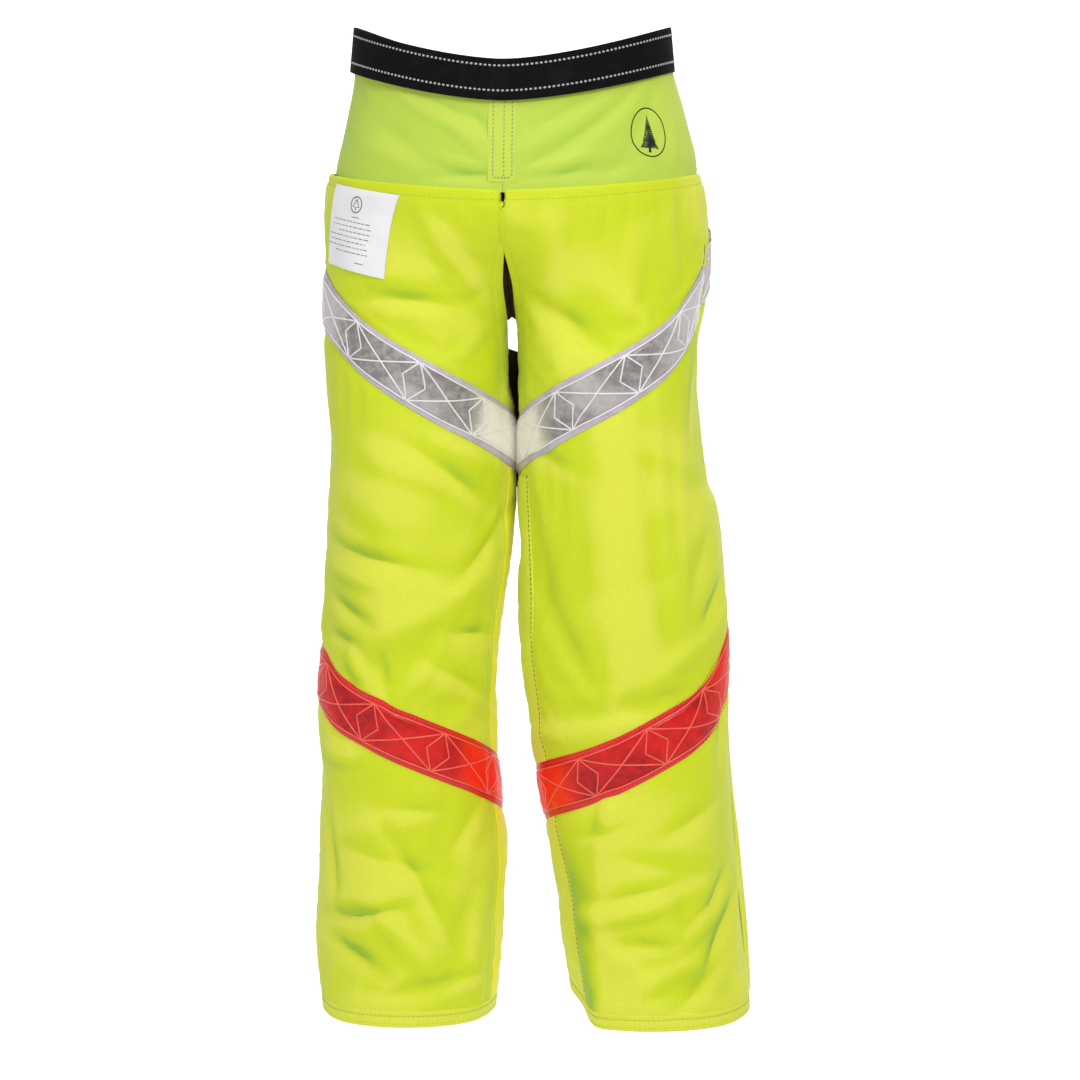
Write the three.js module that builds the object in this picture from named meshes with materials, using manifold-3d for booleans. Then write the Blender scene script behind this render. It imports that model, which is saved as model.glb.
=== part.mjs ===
// Chainsaw chaps: two padded leg panels hung from a fabric yoke and a webbing belt. Each leg has a
// stitched tape round the thigh and the shin, a wrap panel behind the thigh and the calf, and three
// buckled straps that close it behind the leg.
// Millimetres, +Z up, the front faces -Y, and +X is the wearer's left. The origin is the middle of
// the waist opening, level with the belt's middle line at the front.
import * as THREE from "three";
import { mergeVertices } from "three/addons/utils/BufferGeometryUtils.js";
import Module from "manifold-3d";

const wasm = await Module();
wasm.setup();

// ---------------------------------------------------------------- driving dimensions
const sewnGap = 0.4; // between pieces that are sewn face to face
const edgeGap = 0.4; // between pieces whose edges meet
const centreGap = 2; // from the middle plane to each leg panel's inner edge at the yoke

// Layers of the padded leg panel, counted outwards from the lining's inner face.
const liningThickness = 1;
const padThickness = 5;
const shellThickness = 1.2;
const tapeThickness = 0.8;
const tapeLift = 1; // room under the tape for the stitching
const wrapLift = 0.9; // the tape rises this much where it crosses the wrap panel's seam
const wrapThickness = 1.4;
const yokeThickness = 1.4;
const padInner = liningThickness + sewnGap;
const shellInner = padInner + padThickness + sewnGap;
const shellOuter = shellInner + shellThickness;
const tapeInner = shellOuter + tapeLift;

// The body under the belt and the yoke: half width and half depth of its oval sections.
const pelvis = [
  { z: 20, halfWidth: 138, halfDepth: 100 },
  { z: -20, halfWidth: 142, halfDepth: 103 },
  { z: -60, halfWidth: 155, halfDepth: 110 },
  { z: -99, halfWidth: 166, halfDepth: 113 },
  { z: -300, halfWidth: 172, halfDepth: 113 },
];
const yokeSeam = -99; // the yoke meets the padded panels here, at the front
const thighTop = -290; // below this each leg has an oval section of its own
const hemBottom = -892;
const hemHeight = 14;
const legTop = yokeSeam - edgeGap;
const legBottom = hemBottom + hemHeight + edgeGap;
const kneeLevel = -480;
const kneeGap = 44; // between the thigh pad and the shin pad, so that the knee can bend

// Each leg as it hangs: the middle and half width of its oval sections.
const legs = {
  left: {
    side: 1,
    sections: [
      { z: -290, middle: 92, halfWidth: 80 },
      { z: -370, middle: 95, halfWidth: 81 },
      { z: -540, middle: 105, halfWidth: 88 },
      { z: -635, middle: 112, halfWidth: 84 },
      { z: -730, middle: 122, halfWidth: 80 },
      { z: -892, middle: 139, halfWidth: 77 },
    ],
  },
  right: {
    side: -1,
    sections: [
      { z: -290, middle: -90, halfWidth: 78 },
      { z: -370, middle: -89, halfWidth: 78 },
      { z: -540, middle: -99, halfWidth: 75 },
      { z: -635, middle: -100, halfWidth: 77 },
      { z: -730, middle: -97, halfWidth: 80 },
      { z: -892, middle: -101, halfWidth: 76 },
    ],
  },
};
const legDepths = [
  { z: -290, back: -4, halfDepth: 82 },
  { z: -480, back: 0, halfDepth: 79 },
  { z: -730, back: 8, halfDepth: 74 },
  { z: -892, back: 6, halfDepth: 76 },
];

// Angles round the pelvis from the front, and round a leg from its inner side through the front.
const panelAngles = { pelvis: [0, 100], leg: [-12, 190] };
const wrapAngles = { pelvis: [100.3, 132], leg: [190.4, 236] };

// The belt rises from the front to the hips, and the rows below it follow less and less.
const beltSideRise = 29;
const beltBackShare = -0.15; // the belt sags at the back, where it only closes
const seamSideRise = 10;

const belt = { width: 38, thickness: 2.4, yokeBelowTop: 3 };
const strap = { width: 25, thickness: 1.6 };
const tapeWidth = 50;
const thighTape = { innerEnd: -347, outerEnd: -213, wrapEnd: -178 };
const shinTape = { innerEnd: -670, outerEnd: -560, wrapEnd: -552 };
const thighWrap = { top: -118, bottom: -352 };
const calfWrap = { top: -522, bottom: hemBottom + 20 };
const strapLevels = { thigh: -316, calf: -610, ankle: -800 };
const placket = { width: 26, thickness: 1.2, top: -belt.width / 2 - 3, bottom: -92 };
const label = { fromColumn: 4.5, toColumn: 9, top: -104, height: 78, thickness: 0.6, drop: 9 };

// Side-release buckles. A size follows from its webbing.
const beltBuckle = buckleSizes(belt.width, 12, 30);
const strapBuckle = buckleSizes(strap.width, 9.6, 22);
const beltBuckleShift = 10; // from the middle of the back to the belt buckle's mouth
const strapBuckleShift = 6;
const beltBackStand = 3; // the belt bridges this far behind the waist's oval
const strapBackStand = 7;

function buckleSizes(webbing, thickness, prongLength) {
  const wall = 1.8;
  const slot = 4.6;
  const bar = 3;
  return {
    webbing,
    thickness,
    prongLength,
    wall,
    slot,
    bar,
    barThickness: 2.6,
    halfWidth: webbing / 2 + 4,
    mouthHalf: webbing / 2 - 0.4,
    socketLength: prongLength + 1.5 + wall + slot + bar,
    plugLength: 6 + slot + bar,
    running: 0.4,
  };
}

// ---------------------------------------------------------------- small helpers
const radians = THREE.MathUtils.degToRad;
const lerp = THREE.MathUtils.lerp;
const smooth = (t) => THREE.MathUtils.smoothstep(t, 0, 1);
const point = (x, y, z) => new THREE.Vector3(x, y, z);
const steps = (count) => Array.from({ length: count + 1 }, (_, i) => i / count);

// A smooth value at height z from a table of sections, by Hermite interpolation.
function sectionAt(table, z, key) {
  const rows = table;
  const last = rows.length - 1;
  const slope = (i) => {
    const a = rows[Math.max(i - 1, 0)];
    const b = rows[Math.min(i + 1, last)];
    return (b[key] - a[key]) / (b.z - a.z);
  };
  if (z >= rows[0].z) return rows[0][key];
  if (z <= rows[last].z) return rows[last][key];
  const i = rows.findIndex((row, k) => k < last && z <= row.z && z >= rows[k + 1].z);
  const span = rows[i + 1].z - rows[i].z;
  const t = (z - rows[i].z) / span;
  const [t2, t3] = [t * t, t * t * t];
  return (
    (2 * t3 - 3 * t2 + 1) * rows[i][key] +
    (t3 - 2 * t2 + t) * span * slope(i) +
    (3 * t2 - 2 * t3) * rows[i + 1][key] +
    (t3 - t2) * span * slope(i + 1)
  );
}

// How far a point at this angle and height is lifted by the belt's dip at the front.
function lift(angle, z) {
  const a = radians(Math.min(Math.abs(angle), 180));
  const round =
    a < Math.PI / 2
      ? Math.sin(a) ** 1.6
      : 1 - (1 - beltBackShare) * 0.5 * (1 - Math.cos(2 * (a - Math.PI / 2)));
  const rise =
    z > yokeSeam
      ? lerp(seamSideRise, beltSideRise, Math.min((z - yokeSeam) / -yokeSeam, 1))
      : seamSideRise * (1 - smooth((z - yokeSeam) / (thighTop - yokeSeam)));
  return rise * round;
}

// A point of the pelvis at an angle from the front, a height and an offset outwards.
function pelvisPoint(angle, z, offset) {
  const a = radians(angle);
  const x = (sectionAt(pelvis, z, "halfWidth") + offset) * Math.sin(a);
  const y = -(sectionAt(pelvis, z, "halfDepth") + offset) * Math.cos(a);
  return point(x, y, z + lift(angle, z));
}

// The oval section of one leg at a height.
function legSection(leg, z) {
  return {
    x: sectionAt(leg.sections, z, "middle"),
    y: sectionAt(legDepths, z, "back"),
    halfWidth: sectionAt(leg.sections, z, "halfWidth"),
    halfDepth: sectionAt(legDepths, z, "halfDepth"),
  };
}

function ovalPoint(leg, angle, z, offset) {
  const s = legSection(leg, z);
  const a = radians(angle);
  const x = s.x - leg.side * (s.halfWidth + offset) * Math.cos(a);
  return point(x, s.y - (s.halfDepth + offset) * Math.sin(a), z);
}

// A point of a leg panel: u runs between the angles given, and the section turns from the pelvis's
// shape at the yoke into the leg's own oval at the top of the thigh.
function panelPoint(leg, angles, u, z, offset) {
  const round = lerp(...angles.pelvis, u);
  const high = pelvisPoint(round, z, offset);
  high.x = leg.side * (high.x + centreGap * (1 - u));
  const low = ovalPoint(leg, lerp(...angles.leg, u), z, offset);
  const mixed = high.clone().lerp(low, smooth((legTop - z) / (legTop - thighTop)));
  mixed.z = high.z;
  return mixed;
}

// A point on the flat facets between the panels' rows.
function facetPoint(leg, angles, u, z, offset) {
  const below = legLevels.findIndex((level) => level < z);
  const [high, low] = [legLevels[below - 1], legLevels[below]];
  const top = panelPoint(leg, angles, u, high, offset);
  return top.lerp(panelPoint(leg, angles, u, low, offset), (high - z) / (high - low));
}

// A closed solid between two grids of points, with a rim round it.
function slab(outer, inner) {
  const rows = outer.length;
  const columns = outer[0].length;
  const vertices = [...outer.flat(), ...inner.flat()];
  const faces = [];
  const at = (layer, row, column) => (layer * rows + row) * columns + column;
  const quad = (a, b, c, d) => faces.push(a, b, c, a, c, d);
  for (let r = 0; r < rows - 1; r++)
    for (let c = 0; c < columns - 1; c++) {
      quad(at(0, r, c), at(0, r, c + 1), at(0, r + 1, c + 1), at(0, r + 1, c));
      quad(at(1, r, c), at(1, r + 1, c), at(1, r + 1, c + 1), at(1, r, c + 1));
    }
  for (let r = 0; r < rows - 1; r++) {
    quad(at(0, r, 0), at(0, r + 1, 0), at(1, r + 1, 0), at(1, r, 0));
    quad(at(0, r + 1, columns - 1), at(0, r, columns - 1), at(1, r, columns - 1), at(1, r + 1, columns - 1));
  }
  for (let c = 0; c < columns - 1; c++) {
    quad(at(0, 0, c + 1), at(0, 0, c), at(1, 0, c), at(1, 0, c + 1));
    quad(at(0, rows - 1, c), at(0, rows - 1, c + 1), at(1, rows - 1, c + 1), at(1, rows - 1, c));
  }
  const geometry = new THREE.BufferGeometry().setFromPoints(vertices);
  geometry.setIndex(faces);
  return facingOut(geometry);
}

// The same geometry with its faces turned so that it has a positive volume.
function facingOut(geometry) {
  const p = geometry.attributes.position;
  const index = geometry.index.array;
  const corner = (i) => new THREE.Vector3().fromBufferAttribute(p, index[i]);
  let volume = 0;
  for (let i = 0; i < index.length; i += 3)
    volume += corner(i).dot(corner(i + 1).cross(corner(i + 2)));
  if (volume < 0)
    for (let i = 0; i < index.length; i += 3) [index[i + 1], index[i + 2]] = [index[i + 2], index[i + 1]];
  geometry.computeVertexNormals();
  return geometry;
}

// A slab over a surface: at(u, level, offset) gives its points.
function skin(at, columns, levels, inner, outer) {
  const grid = (offset) => levels.map((level) => columns.map((u) => at(u, level, offset)));
  return slab(grid(outer), grid(inner));
}

// A flat strip of webbing along a path of {low, high} points, thick to both sides of it.
function ribbon(path, thickness) {
  const edge = (sign, key) =>
    path.map((station, i) => {
      const before = path[Math.max(i - 1, 0)][key];
      const after = path[Math.min(i + 1, path.length - 1)][key];
      const along = after.clone().sub(before).setZ(0).normalize();
      const across = point(along.y, -along.x, 0).multiplyScalar((sign * thickness) / 2);
      return station[key].clone().add(across);
    });
  return slab([edge(1, "low"), edge(1, "high")], [edge(-1, "low"), edge(-1, "high")]);
}

// ---------------------------------------------------------------- solids for boolean cuts
function toSolid(geometry) {
  const bare = geometry.index ? geometry.toNonIndexed() : geometry.clone();
  for (const name of Object.keys(bare.attributes)) if (name !== "position") bare.deleteAttribute(name);
  const merged = mergeVertices(bare, 1e-4);
  return new wasm.Manifold(
    new wasm.Mesh({
      numProp: 3,
      vertProperties: merged.attributes.position.array,
      triVerts: new Uint32Array(merged.index.array),
    }),
  );
}

function toGeometry(solid) {
  const mesh = solid.getMesh();
  const geometry = new THREE.BufferGeometry();
  geometry.setAttribute("position", new THREE.BufferAttribute(mesh.vertProperties.slice(), 3));
  geometry.setIndex(Array.from(mesh.triVerts));
  geometry.computeVertexNormals();
  return geometry;
}

// A box from its lowest and highest corners.
function block(low, high) {
  const size = [0, 1, 2].map((k) => high[k] - low[k]);
  const geometry = new THREE.BoxGeometry(...size);
  geometry.translate(...[0, 1, 2].map((k) => (high[k] + low[k]) / 2));
  return toSolid(geometry);
}

// A plate with an outline in X and Z and its thickness along Y, with chamfered edges.
function plate(outline, thickness, chamfer) {
  const geometry = new THREE.ExtrudeGeometry(outline, {
    depth: thickness - 2 * chamfer,
    bevelEnabled: chamfer > 0,
    bevelSize: chamfer,
    bevelThickness: chamfer,
    bevelOffset: -chamfer,
    bevelSegments: 1,
    curveSegments: 3,
  });
  geometry.translate(0, 0, chamfer - thickness / 2);
  geometry.rotateX(Math.PI / 2);
  return toSolid(geometry);
}

// A rectangle with rounded corners, from x0 to x1, and half as wide as each end says.
function roundedOutline(x0, x1, half0, half1, radius) {
  const shape = new THREE.Shape();
  shape.moveTo(x0 + radius, -half0);
  shape.lineTo(x1 - radius, -half1);
  shape.quadraticCurveTo(x1, -half1, x1, -half1 + radius);
  shape.lineTo(x1, half1 - radius);
  shape.quadraticCurveTo(x1, half1, x1 - radius, half1);
  shape.lineTo(x0 + radius, half0);
  shape.quadraticCurveTo(x0, half0, x0, half0 - radius);
  shape.lineTo(x0, -half0 + radius);
  shape.quadraticCurveTo(x0, -half0, x0 + radius, -half0);
  return shape;
}

// ---------------------------------------------------------------- buckles
// Both halves are made with the mouth at x = 0, the socket along +X and the thickness along Y.
function socketGeometry(b) {
  const length = b.socketLength;
  const outline = roundedOutline(0, length, b.halfWidth, b.halfWidth - 1.5, 3);
  const cavity = b.prongLength + 1.5;
  const room = b.thickness / 2 - b.wall;
  const slotEnd = length - b.bar;
  const cuts = [
    block([-1, -room, -b.mouthHalf], [cavity, room, b.mouthHalf]),
    block([slotEnd - b.slot, -b.thickness, -b.webbing / 2 - 0.8], [slotEnd, b.thickness, b.webbing / 2 + 0.8]),
  ];
  for (const end of [-1, 1]) {
    const z = [end * (b.mouthHalf - 1), end * (b.halfWidth + 2)].sort((p, q) => p - q);
    cuts.push(block([cavity * 0.38, -room, z[0]], [cavity * 0.86, room, z[1]]));
  }
  const thin = b.thickness / 2 - b.barThickness / 2;
  for (const face of [-1, 1]) {
    const y = [(face * b.barThickness) / 2, face * (b.barThickness / 2 + thin + 1)].sort((p, q) => p - q);
    cuts.push(block([slotEnd - 0.5, y[0], -b.webbing / 2 - 0.8], [length + 1, y[1], b.webbing / 2 + 0.8]));
  }
  return toGeometry(cuts.reduce((body, cut) => body.subtract(cut), plate(outline, b.thickness, 1)));
}

function plugGeometry(b) {
  const length = b.plugLength;
  const armOuter = b.mouthHalf - b.running;
  const armWidth = b.webbing * 0.17;
  const armHalf = b.thickness / 2 - b.wall - b.running;
  let body = plate(roundedOutline(-length, -0.3, b.halfWidth - 1.5, b.halfWidth, 3), b.thickness, 1);
  for (const end of [-1, 1]) {
    const arm = new THREE.Shape();
    arm.moveTo(-2, end * (armOuter - armWidth));
    arm.lineTo(b.prongLength - 5, end * (armOuter - armWidth));
    arm.lineTo(b.prongLength, end * (armOuter - armWidth * 0.9));
    arm.quadraticCurveTo(b.prongLength, end * armOuter, b.prongLength - 6, end * armOuter);
    arm.lineTo(b.prongLength * 0.42, end * armOuter);
    arm.lineTo(b.prongLength * 0.36, end * (armOuter - armWidth * 0.4));
    arm.lineTo(-2, end * (armOuter - armWidth * 0.4));
    body = body.add(plate(arm, 2 * armHalf, 0));
  }
  const tongue = b.webbing * 0.12;
  body = body.add(block([-2, -armHalf, -tongue], [b.prongLength - 6, armHalf, tongue]));
  const slotStart = -length + b.bar;
  const half = b.webbing / 2 + 0.8;
  body = body.subtract(block([slotStart, -b.thickness, -half], [slotStart + b.slot, b.thickness, half]));
  for (const face of [-1, 1]) {
    const y = [(face * b.barThickness) / 2, face * b.thickness].sort((p, q) => p - q);
    body = body.subtract(block([-length - 1, y[0], -half], [slotStart + 0.5, y[1], half]));
  }
  return toGeometry(body);
}

// The radius at which the middle of a webbing turns round a buckle's bar.
function turnRadius(b, thickness) {
  return Math.hypot(b.bar, b.barThickness) / 2 + 1.7 * sewnGap + thickness / 2;
}

// The stations of webbing that turns round a buckle's bar: it comes in along the inner side and
// goes back along the outer side. toward is +1 or -1, the way in X from the run to the bar.
function turnRoundBar(barX, y, radius, toward) {
  return steps(6).map((t) => {
    const a = lerp(-Math.PI / 2, Math.PI / 2, t);
    return { x: barX + toward * radius * Math.cos(a), y: y + radius * Math.sin(a) };
  });
}

// ---------------------------------------------------------------- group and materials
const root = new THREE.Group();
const finish = (color, roughness, metalness = 0) => new THREE.MeshStandardMaterial({ color, roughness, metalness });
const materials = {
  shell: finish(0xd3e02a, 0.75),
  yoke: finish(0xc3dc4a, 0.75),
  lining: finish(0x2a1c16, 0.85),
  pad: finish(0xd9c46a, 0.95),
  webbing: finish(0x141214, 0.8),
  plastic: finish(0x151517, 0.45),
  whiteTape: finish(0xd8d8dc, 0.25),
  orangeTape: finish(0xe0301c, 0.25),
  label: finish(0xf0f0f2, 0.6),
};

function add(name, geometry, material) {
  const mesh = new THREE.Mesh(geometry, material);
  mesh.name = name;
  root.add(mesh);
  return mesh;
}

// ---------------------------------------------------------------- belt, yoke and placket
const beltInner = shellOuter + sewnGap;
const beltMiddle = beltInner + belt.thickness / 2;
const beltBack = sectionAt(pelvis, 0, "halfDepth") + beltMiddle + beltBackStand;
const beltJoin = 112; // the loose end is sewn on at this angle
const beltStraight = { from: 135, to: 152 }; // angles over which the belt leaves the waist's oval

// The belt's path at an angle from the front: round the waist, then straight across the back.
function beltStation(angle) {
  const away = smooth((Math.abs(angle) - beltStraight.from) / (beltStraight.to - beltStraight.from));
  return [-belt.width / 2, belt.width / 2].map((z) => {
    const p = pelvisPoint(angle, z, beltMiddle);
    const flat = pelvisPoint(angle, 0, beltMiddle);
    const level = lift(180, 0);
    const straight = point(flat.x, beltBack, z + level);
    return p.lerp(straight, away);
  });
}

function beltPath(angles, tail) {
  const path = angles.map((angle) => {
    const [low, high] = beltStation(angle);
    return { low, high };
  });
  const level = lift(180, 0);
  for (const p of tail)
    path.push({
      low: point(p.x, p.y, level - belt.width / 2),
      high: point(p.x, p.y, level + belt.width / 2),
    });
  return path;
}

function makeBelt() {
  const b = beltBuckle;
  const mouth = beltBuckleShift;
  const level = lift(180, 0);
  const turn = turnRadius(b, belt.thickness);
  const y = beltBack + turn;
  const doubled = belt.thickness + sewnGap;

  // The socket's side comes round the front in one piece from the left hip and is sewn to itself.
  const socketBar = mouth - b.socketLength + b.bar / 2;
  const yokeAngles = steps(yokeColumns).map((u) => lerp(...panelAngles.pelvis, u));
  const fixedAngles = [
    beltJoin,
    ...yokeAngles.slice(1).reverse(),
    ...yokeAngles.map((a) => -a),
    ...[-110, -120, -130, -139, -147, -154],
  ];
  const fixed = [
    { x: socketBar - 22, y: beltBack },
    ...turnRoundBar(socketBar, y, turn, 1),
    { x: socketBar - 8, y: beltBack + doubled + 1 },
    { x: socketBar - 14, y: beltBack + doubled },
    { x: socketBar - 40, y: beltBack + doubled },
  ];
  add("belt_webbing", ribbon(beltPath(fixedAngles, fixed), belt.thickness), materials.webbing);
  const socket = add("belt_socket", socketGeometry(b), materials.plastic);
  socket.rotation.z = Math.PI;
  socket.position.set(mouth, y, level);

  // The plug's side is the belt's loose end, threaded round the plug's bar.
  const plugBar = mouth + b.plugLength - b.bar / 2;
  const looseAngles = [beltJoin + 0.2, 120, 130, 139, 147, 154];
  const loose = [
    { x: plugBar + 12, y: beltBack },
    ...turnRoundBar(plugBar, y, turn, -1),
    { x: plugBar + 8, y: beltBack + doubled + 1 },
    { x: plugBar + 14, y: beltBack + doubled },
    { x: plugBar + 34, y: beltBack + doubled },
  ];
  add("belt_loose_end", ribbon(beltPath(looseAngles, loose), belt.thickness), materials.webbing);
  const plug = add("belt_plug", plugGeometry(b), materials.plastic);
  plug.rotation.z = Math.PI;
  plug.position.set(mouth, y, level);
}

const yokeColumns = 12;
function makeYoke(name, side) {
  const columns = steps(yokeColumns);
  const top = belt.width / 2 - belt.yokeBelowTop;
  const levels = [top, -belt.width / 2, -45, -72, yokeSeam];
  const at = (u, z, offset) => {
    const p = pelvisPoint(lerp(...panelAngles.pelvis, u), z, offset);
    p.x = side * (p.x + (edgeGap / 2) * (1 - u));
    return p;
  };
  add(name, skin(at, columns, levels, shellOuter - yokeThickness, shellOuter), materials.yoke);
}

function makePlacket() {
  const half = placket.width / 2;
  const levels = [placket.top, -45, -72, placket.bottom];
  const at = (u, z, offset) => {
    const x = lerp(-half, half, u);
    const angle = THREE.MathUtils.radToDeg(Math.asin(x / (sectionAt(pelvis, z, "halfWidth") + offset)));
    return pelvisPoint(angle, z, offset);
  };
  const inner = shellOuter + sewnGap;
  add("front_placket", skin(at, steps(4), levels, inner, inner + placket.thickness), materials.yoke);
}

// ---------------------------------------------------------------- one leg
const columnCount = 12;
const wrapColumns = 4;
const legColumns = steps(columnCount);
const kneeLevels = [kneeLevel + kneeGap / 2, kneeLevel - kneeGap / 2];
const shinLevels = steps(5).map((t) => lerp(kneeLevels[1], legBottom, t));
const legLevels = [legTop, -145, -185, -225, -255, thighTop, -375, kneeLevels[0], ...shinLevels];

function levelsBetween(top, bottom) {
  return [top, ...legLevels.filter((z) => z < top - 5 && z > bottom + 5), bottom];
}

// A band of tape at a slant: its middle line falls from the outer side to the inner side.
function makeTape(name, leg, tape, material) {
  const overWrap = steps(wrapColumns).slice(1, -1);
  const round = [...legColumns, ...overWrap.map((v) => 1 + v)];
  const middle = (t) => {
    if (t > 1) return lerp(tape.outerEnd, tape.wrapEnd, t - 1);
    return lerp(tape.innerEnd, tape.outerEnd, 0.5 * t + 0.5 * smooth(t));
  };
  const slant = (tape.outerEnd - tape.innerEnd) / 300;
  const tall = tapeWidth * Math.hypot(1, slant);
  const at = (t, v, offset) => {
    const z = middle(t) + v * tall;
    return t > 1
      ? panelPoint(leg, wrapAngles, t - 1, z, offset + wrapLift)
      : panelPoint(leg, panelAngles, t, z, offset + (t === 1 ? wrapLift : 0));
  };
  const across = [0.5, 0, -0.5];
  add(name, skin(at, round, across, tapeInner, tapeInner + tapeThickness), material);
}

// One strap behind a leg: a sewn webbing and socket from the inner edge, and a plug on a webbing
// from the wrap panel's edge.
function makeStrap(name, leg, z) {
  const b = strapBuckle;
  const s = leg.side;
  const here = legSection(leg, z);
  const backLine = here.y + here.halfDepth + strapBackStand;
  const turn = turnRadius(b, strap.thickness);
  const buckleY = backLine + turn;
  const mouth = here.x - s * strapBuckleShift;
  const doubled = strap.thickness + sewnGap;
  const low = z - strap.width / 2;
  const high = z + strap.width / 2;
  const sewn = (angles, u, offset) => ({
    low: facetPoint(leg, angles, u, low, offset),
    high: facetPoint(leg, angles, u, high, offset),
  });
  const free = (p) => ({ low: point(p.x, p.y, low), high: point(p.x, p.y, high) });
  const away = (bar, toward) =>
    [
      { x: bar - toward * 6, y: backLine + doubled + 1 },
      { x: bar - toward * 11, y: backLine + doubled },
    ].map(free);

  // Socket side, from inside the panel's inner edge.
  const socketBar = mouth - s * (b.socketLength - b.bar / 2);
  const inside = -2 * sewnGap - strap.thickness / 2;
  const socketPath = [
    ...[2, 1, 0].map((column) => sewn(panelAngles, column / columnCount, inside)),
    sewn(panelAngles, -0.05, inside),
    sewn(panelAngles, -0.11, 2),
    free({ x: socketBar - s * 13, y: backLine - 6 }),
    free({ x: socketBar - s * 6, y: backLine - 1 }),
    ...turnRoundBar(socketBar, buckleY, turn, s).map(free),
    free({ x: socketBar - s * 9, y: backLine + doubled - 2 }),
    free({ x: socketBar - s * 14, y: backLine + doubled - 7 }),
  ];
  add(`${name}_socket_webbing`, ribbon(socketPath, strap.thickness), materials.webbing);
  const socket = add(`${name}_socket`, socketGeometry(b), materials.plastic);
  socket.rotation.z = s > 0 ? Math.PI : 0;
  socket.position.set(mouth, buckleY, z);

  // Plug side, from the outside of the wrap panel.
  const plugBar = mouth + s * (b.plugLength - b.bar / 2);
  const outside = shellInner + wrapThickness + 2 * sewnGap + strap.thickness / 2;
  const plugPath = [
    ...[1.5, 2, 3, 4, 4.4].map((column) => sewn(wrapAngles, column / wrapColumns, outside)),
    free({ x: plugBar + s * 16, y: backLine - 1 }),
    free({ x: plugBar + s * 8, y: backLine }),
    ...turnRoundBar(plugBar, buckleY, turn, -s).map(free),
    ...away(plugBar, -s),
    free({ x: plugBar + s * 24, y: backLine + doubled - 1.5 }),
    free({ x: plugBar + s * 34, y: backLine + doubled - 1 }),
  ];
  add(`${name}_plug_webbing`, ribbon(plugPath, strap.thickness), materials.webbing);
  const plug = add(`${name}_plug`, plugGeometry(b), materials.plastic);
  plug.rotation.z = s > 0 ? Math.PI : 0;
  plug.position.set(mouth, buckleY, z);
}

function makeLeg(side, leg) {
  const columns = legColumns;
  const panel = (u, z, offset) => panelPoint(leg, panelAngles, u, z, offset);
  const wrap = (u, z, offset) => facetPoint(leg, wrapAngles, u, z, offset);
  const all = levelsBetween(legTop, legBottom);
  const aboveKnee = levelsBetween(legTop, kneeLevels[0]);
  const belowKnee = levelsBetween(kneeLevels[1], legBottom);
  const padOuter = padInner + padThickness;
  add(`shell_${side}`, skin(panel, columns, all, shellInner, shellOuter), materials.shell);
  add(`lining_${side}`, skin(panel, columns, all, 0, liningThickness), materials.lining);
  add(`thigh_pad_${side}`, skin(panel, columns, aboveKnee, padInner, padOuter), materials.pad);
  add(`shin_pad_${side}`, skin(panel, columns, belowKnee, padInner, padOuter), materials.pad);
  const hemLevels = [legBottom - edgeGap, hemBottom];
  add(`hem_${side}`, skin(panel, columns, hemLevels, 0, shellOuter), materials.shell);
  for (const [part, piece] of Object.entries({ thigh: thighWrap, calf: calfWrap })) {
    const levels = levelsBetween(piece.top, piece.bottom);
    const geometry = skin(wrap, steps(wrapColumns), levels, shellInner, shellInner + wrapThickness);
    add(`${part}_wrap_${side}`, geometry, materials.shell);
  }
  makeTape(`thigh_tape_${side}`, leg, thighTape, materials.whiteTape);
  makeTape(`shin_tape_${side}`, leg, shinTape, materials.orangeTape);
  for (const [place, z] of Object.entries(strapLevels)) makeStrap(`${place}_strap_${side}`, leg, z);
}

// The care label on the right thigh, sewn in along its top edge below the yoke.
function makeLabel() {
  const inner = shellOuter + 2 * tapeLift;
  const { fromColumn: from, toColumn: to } = label;
  const columns = [from, ...legColumns.map((u) => u * columnCount).filter((c) => c > from && c <= to)];
  const at = (column, down, offset) => {
    const z = label.top - label.height * down - (label.drop * (to - column)) / (to - from);
    return panelPoint(legs.right, panelAngles, column / columnCount, z, offset);
  };
  add("care_label", skin(at, columns, steps(4), inner, inner + label.thickness), materials.label);
}

makeBelt();
makeYoke("yoke_left", 1);
makeYoke("yoke_right", -1);
makePlacket();
for (const [side, leg] of Object.entries(legs)) makeLeg(side, leg);
makeLabel();

export default root;
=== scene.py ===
import math
import random

import bmesh
import bpy
import numpy as np
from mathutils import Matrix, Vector


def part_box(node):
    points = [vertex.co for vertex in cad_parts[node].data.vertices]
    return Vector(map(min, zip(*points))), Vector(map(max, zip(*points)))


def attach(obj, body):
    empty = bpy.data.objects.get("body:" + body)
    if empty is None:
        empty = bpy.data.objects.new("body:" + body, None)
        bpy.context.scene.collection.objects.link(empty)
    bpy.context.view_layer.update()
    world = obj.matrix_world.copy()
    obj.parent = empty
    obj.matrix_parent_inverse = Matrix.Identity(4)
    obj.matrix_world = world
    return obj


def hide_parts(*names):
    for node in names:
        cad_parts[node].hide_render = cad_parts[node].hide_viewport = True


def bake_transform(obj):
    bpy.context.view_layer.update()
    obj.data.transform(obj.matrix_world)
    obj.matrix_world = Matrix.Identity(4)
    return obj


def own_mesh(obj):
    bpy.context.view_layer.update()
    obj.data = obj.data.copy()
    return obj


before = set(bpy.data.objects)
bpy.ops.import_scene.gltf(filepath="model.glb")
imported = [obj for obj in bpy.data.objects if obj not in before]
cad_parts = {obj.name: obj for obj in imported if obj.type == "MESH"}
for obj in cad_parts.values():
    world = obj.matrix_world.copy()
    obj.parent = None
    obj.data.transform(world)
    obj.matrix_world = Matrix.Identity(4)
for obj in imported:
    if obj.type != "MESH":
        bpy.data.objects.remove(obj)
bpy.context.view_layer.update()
mm = 0.001
sides = {"left": 1, "right": -1}


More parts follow.
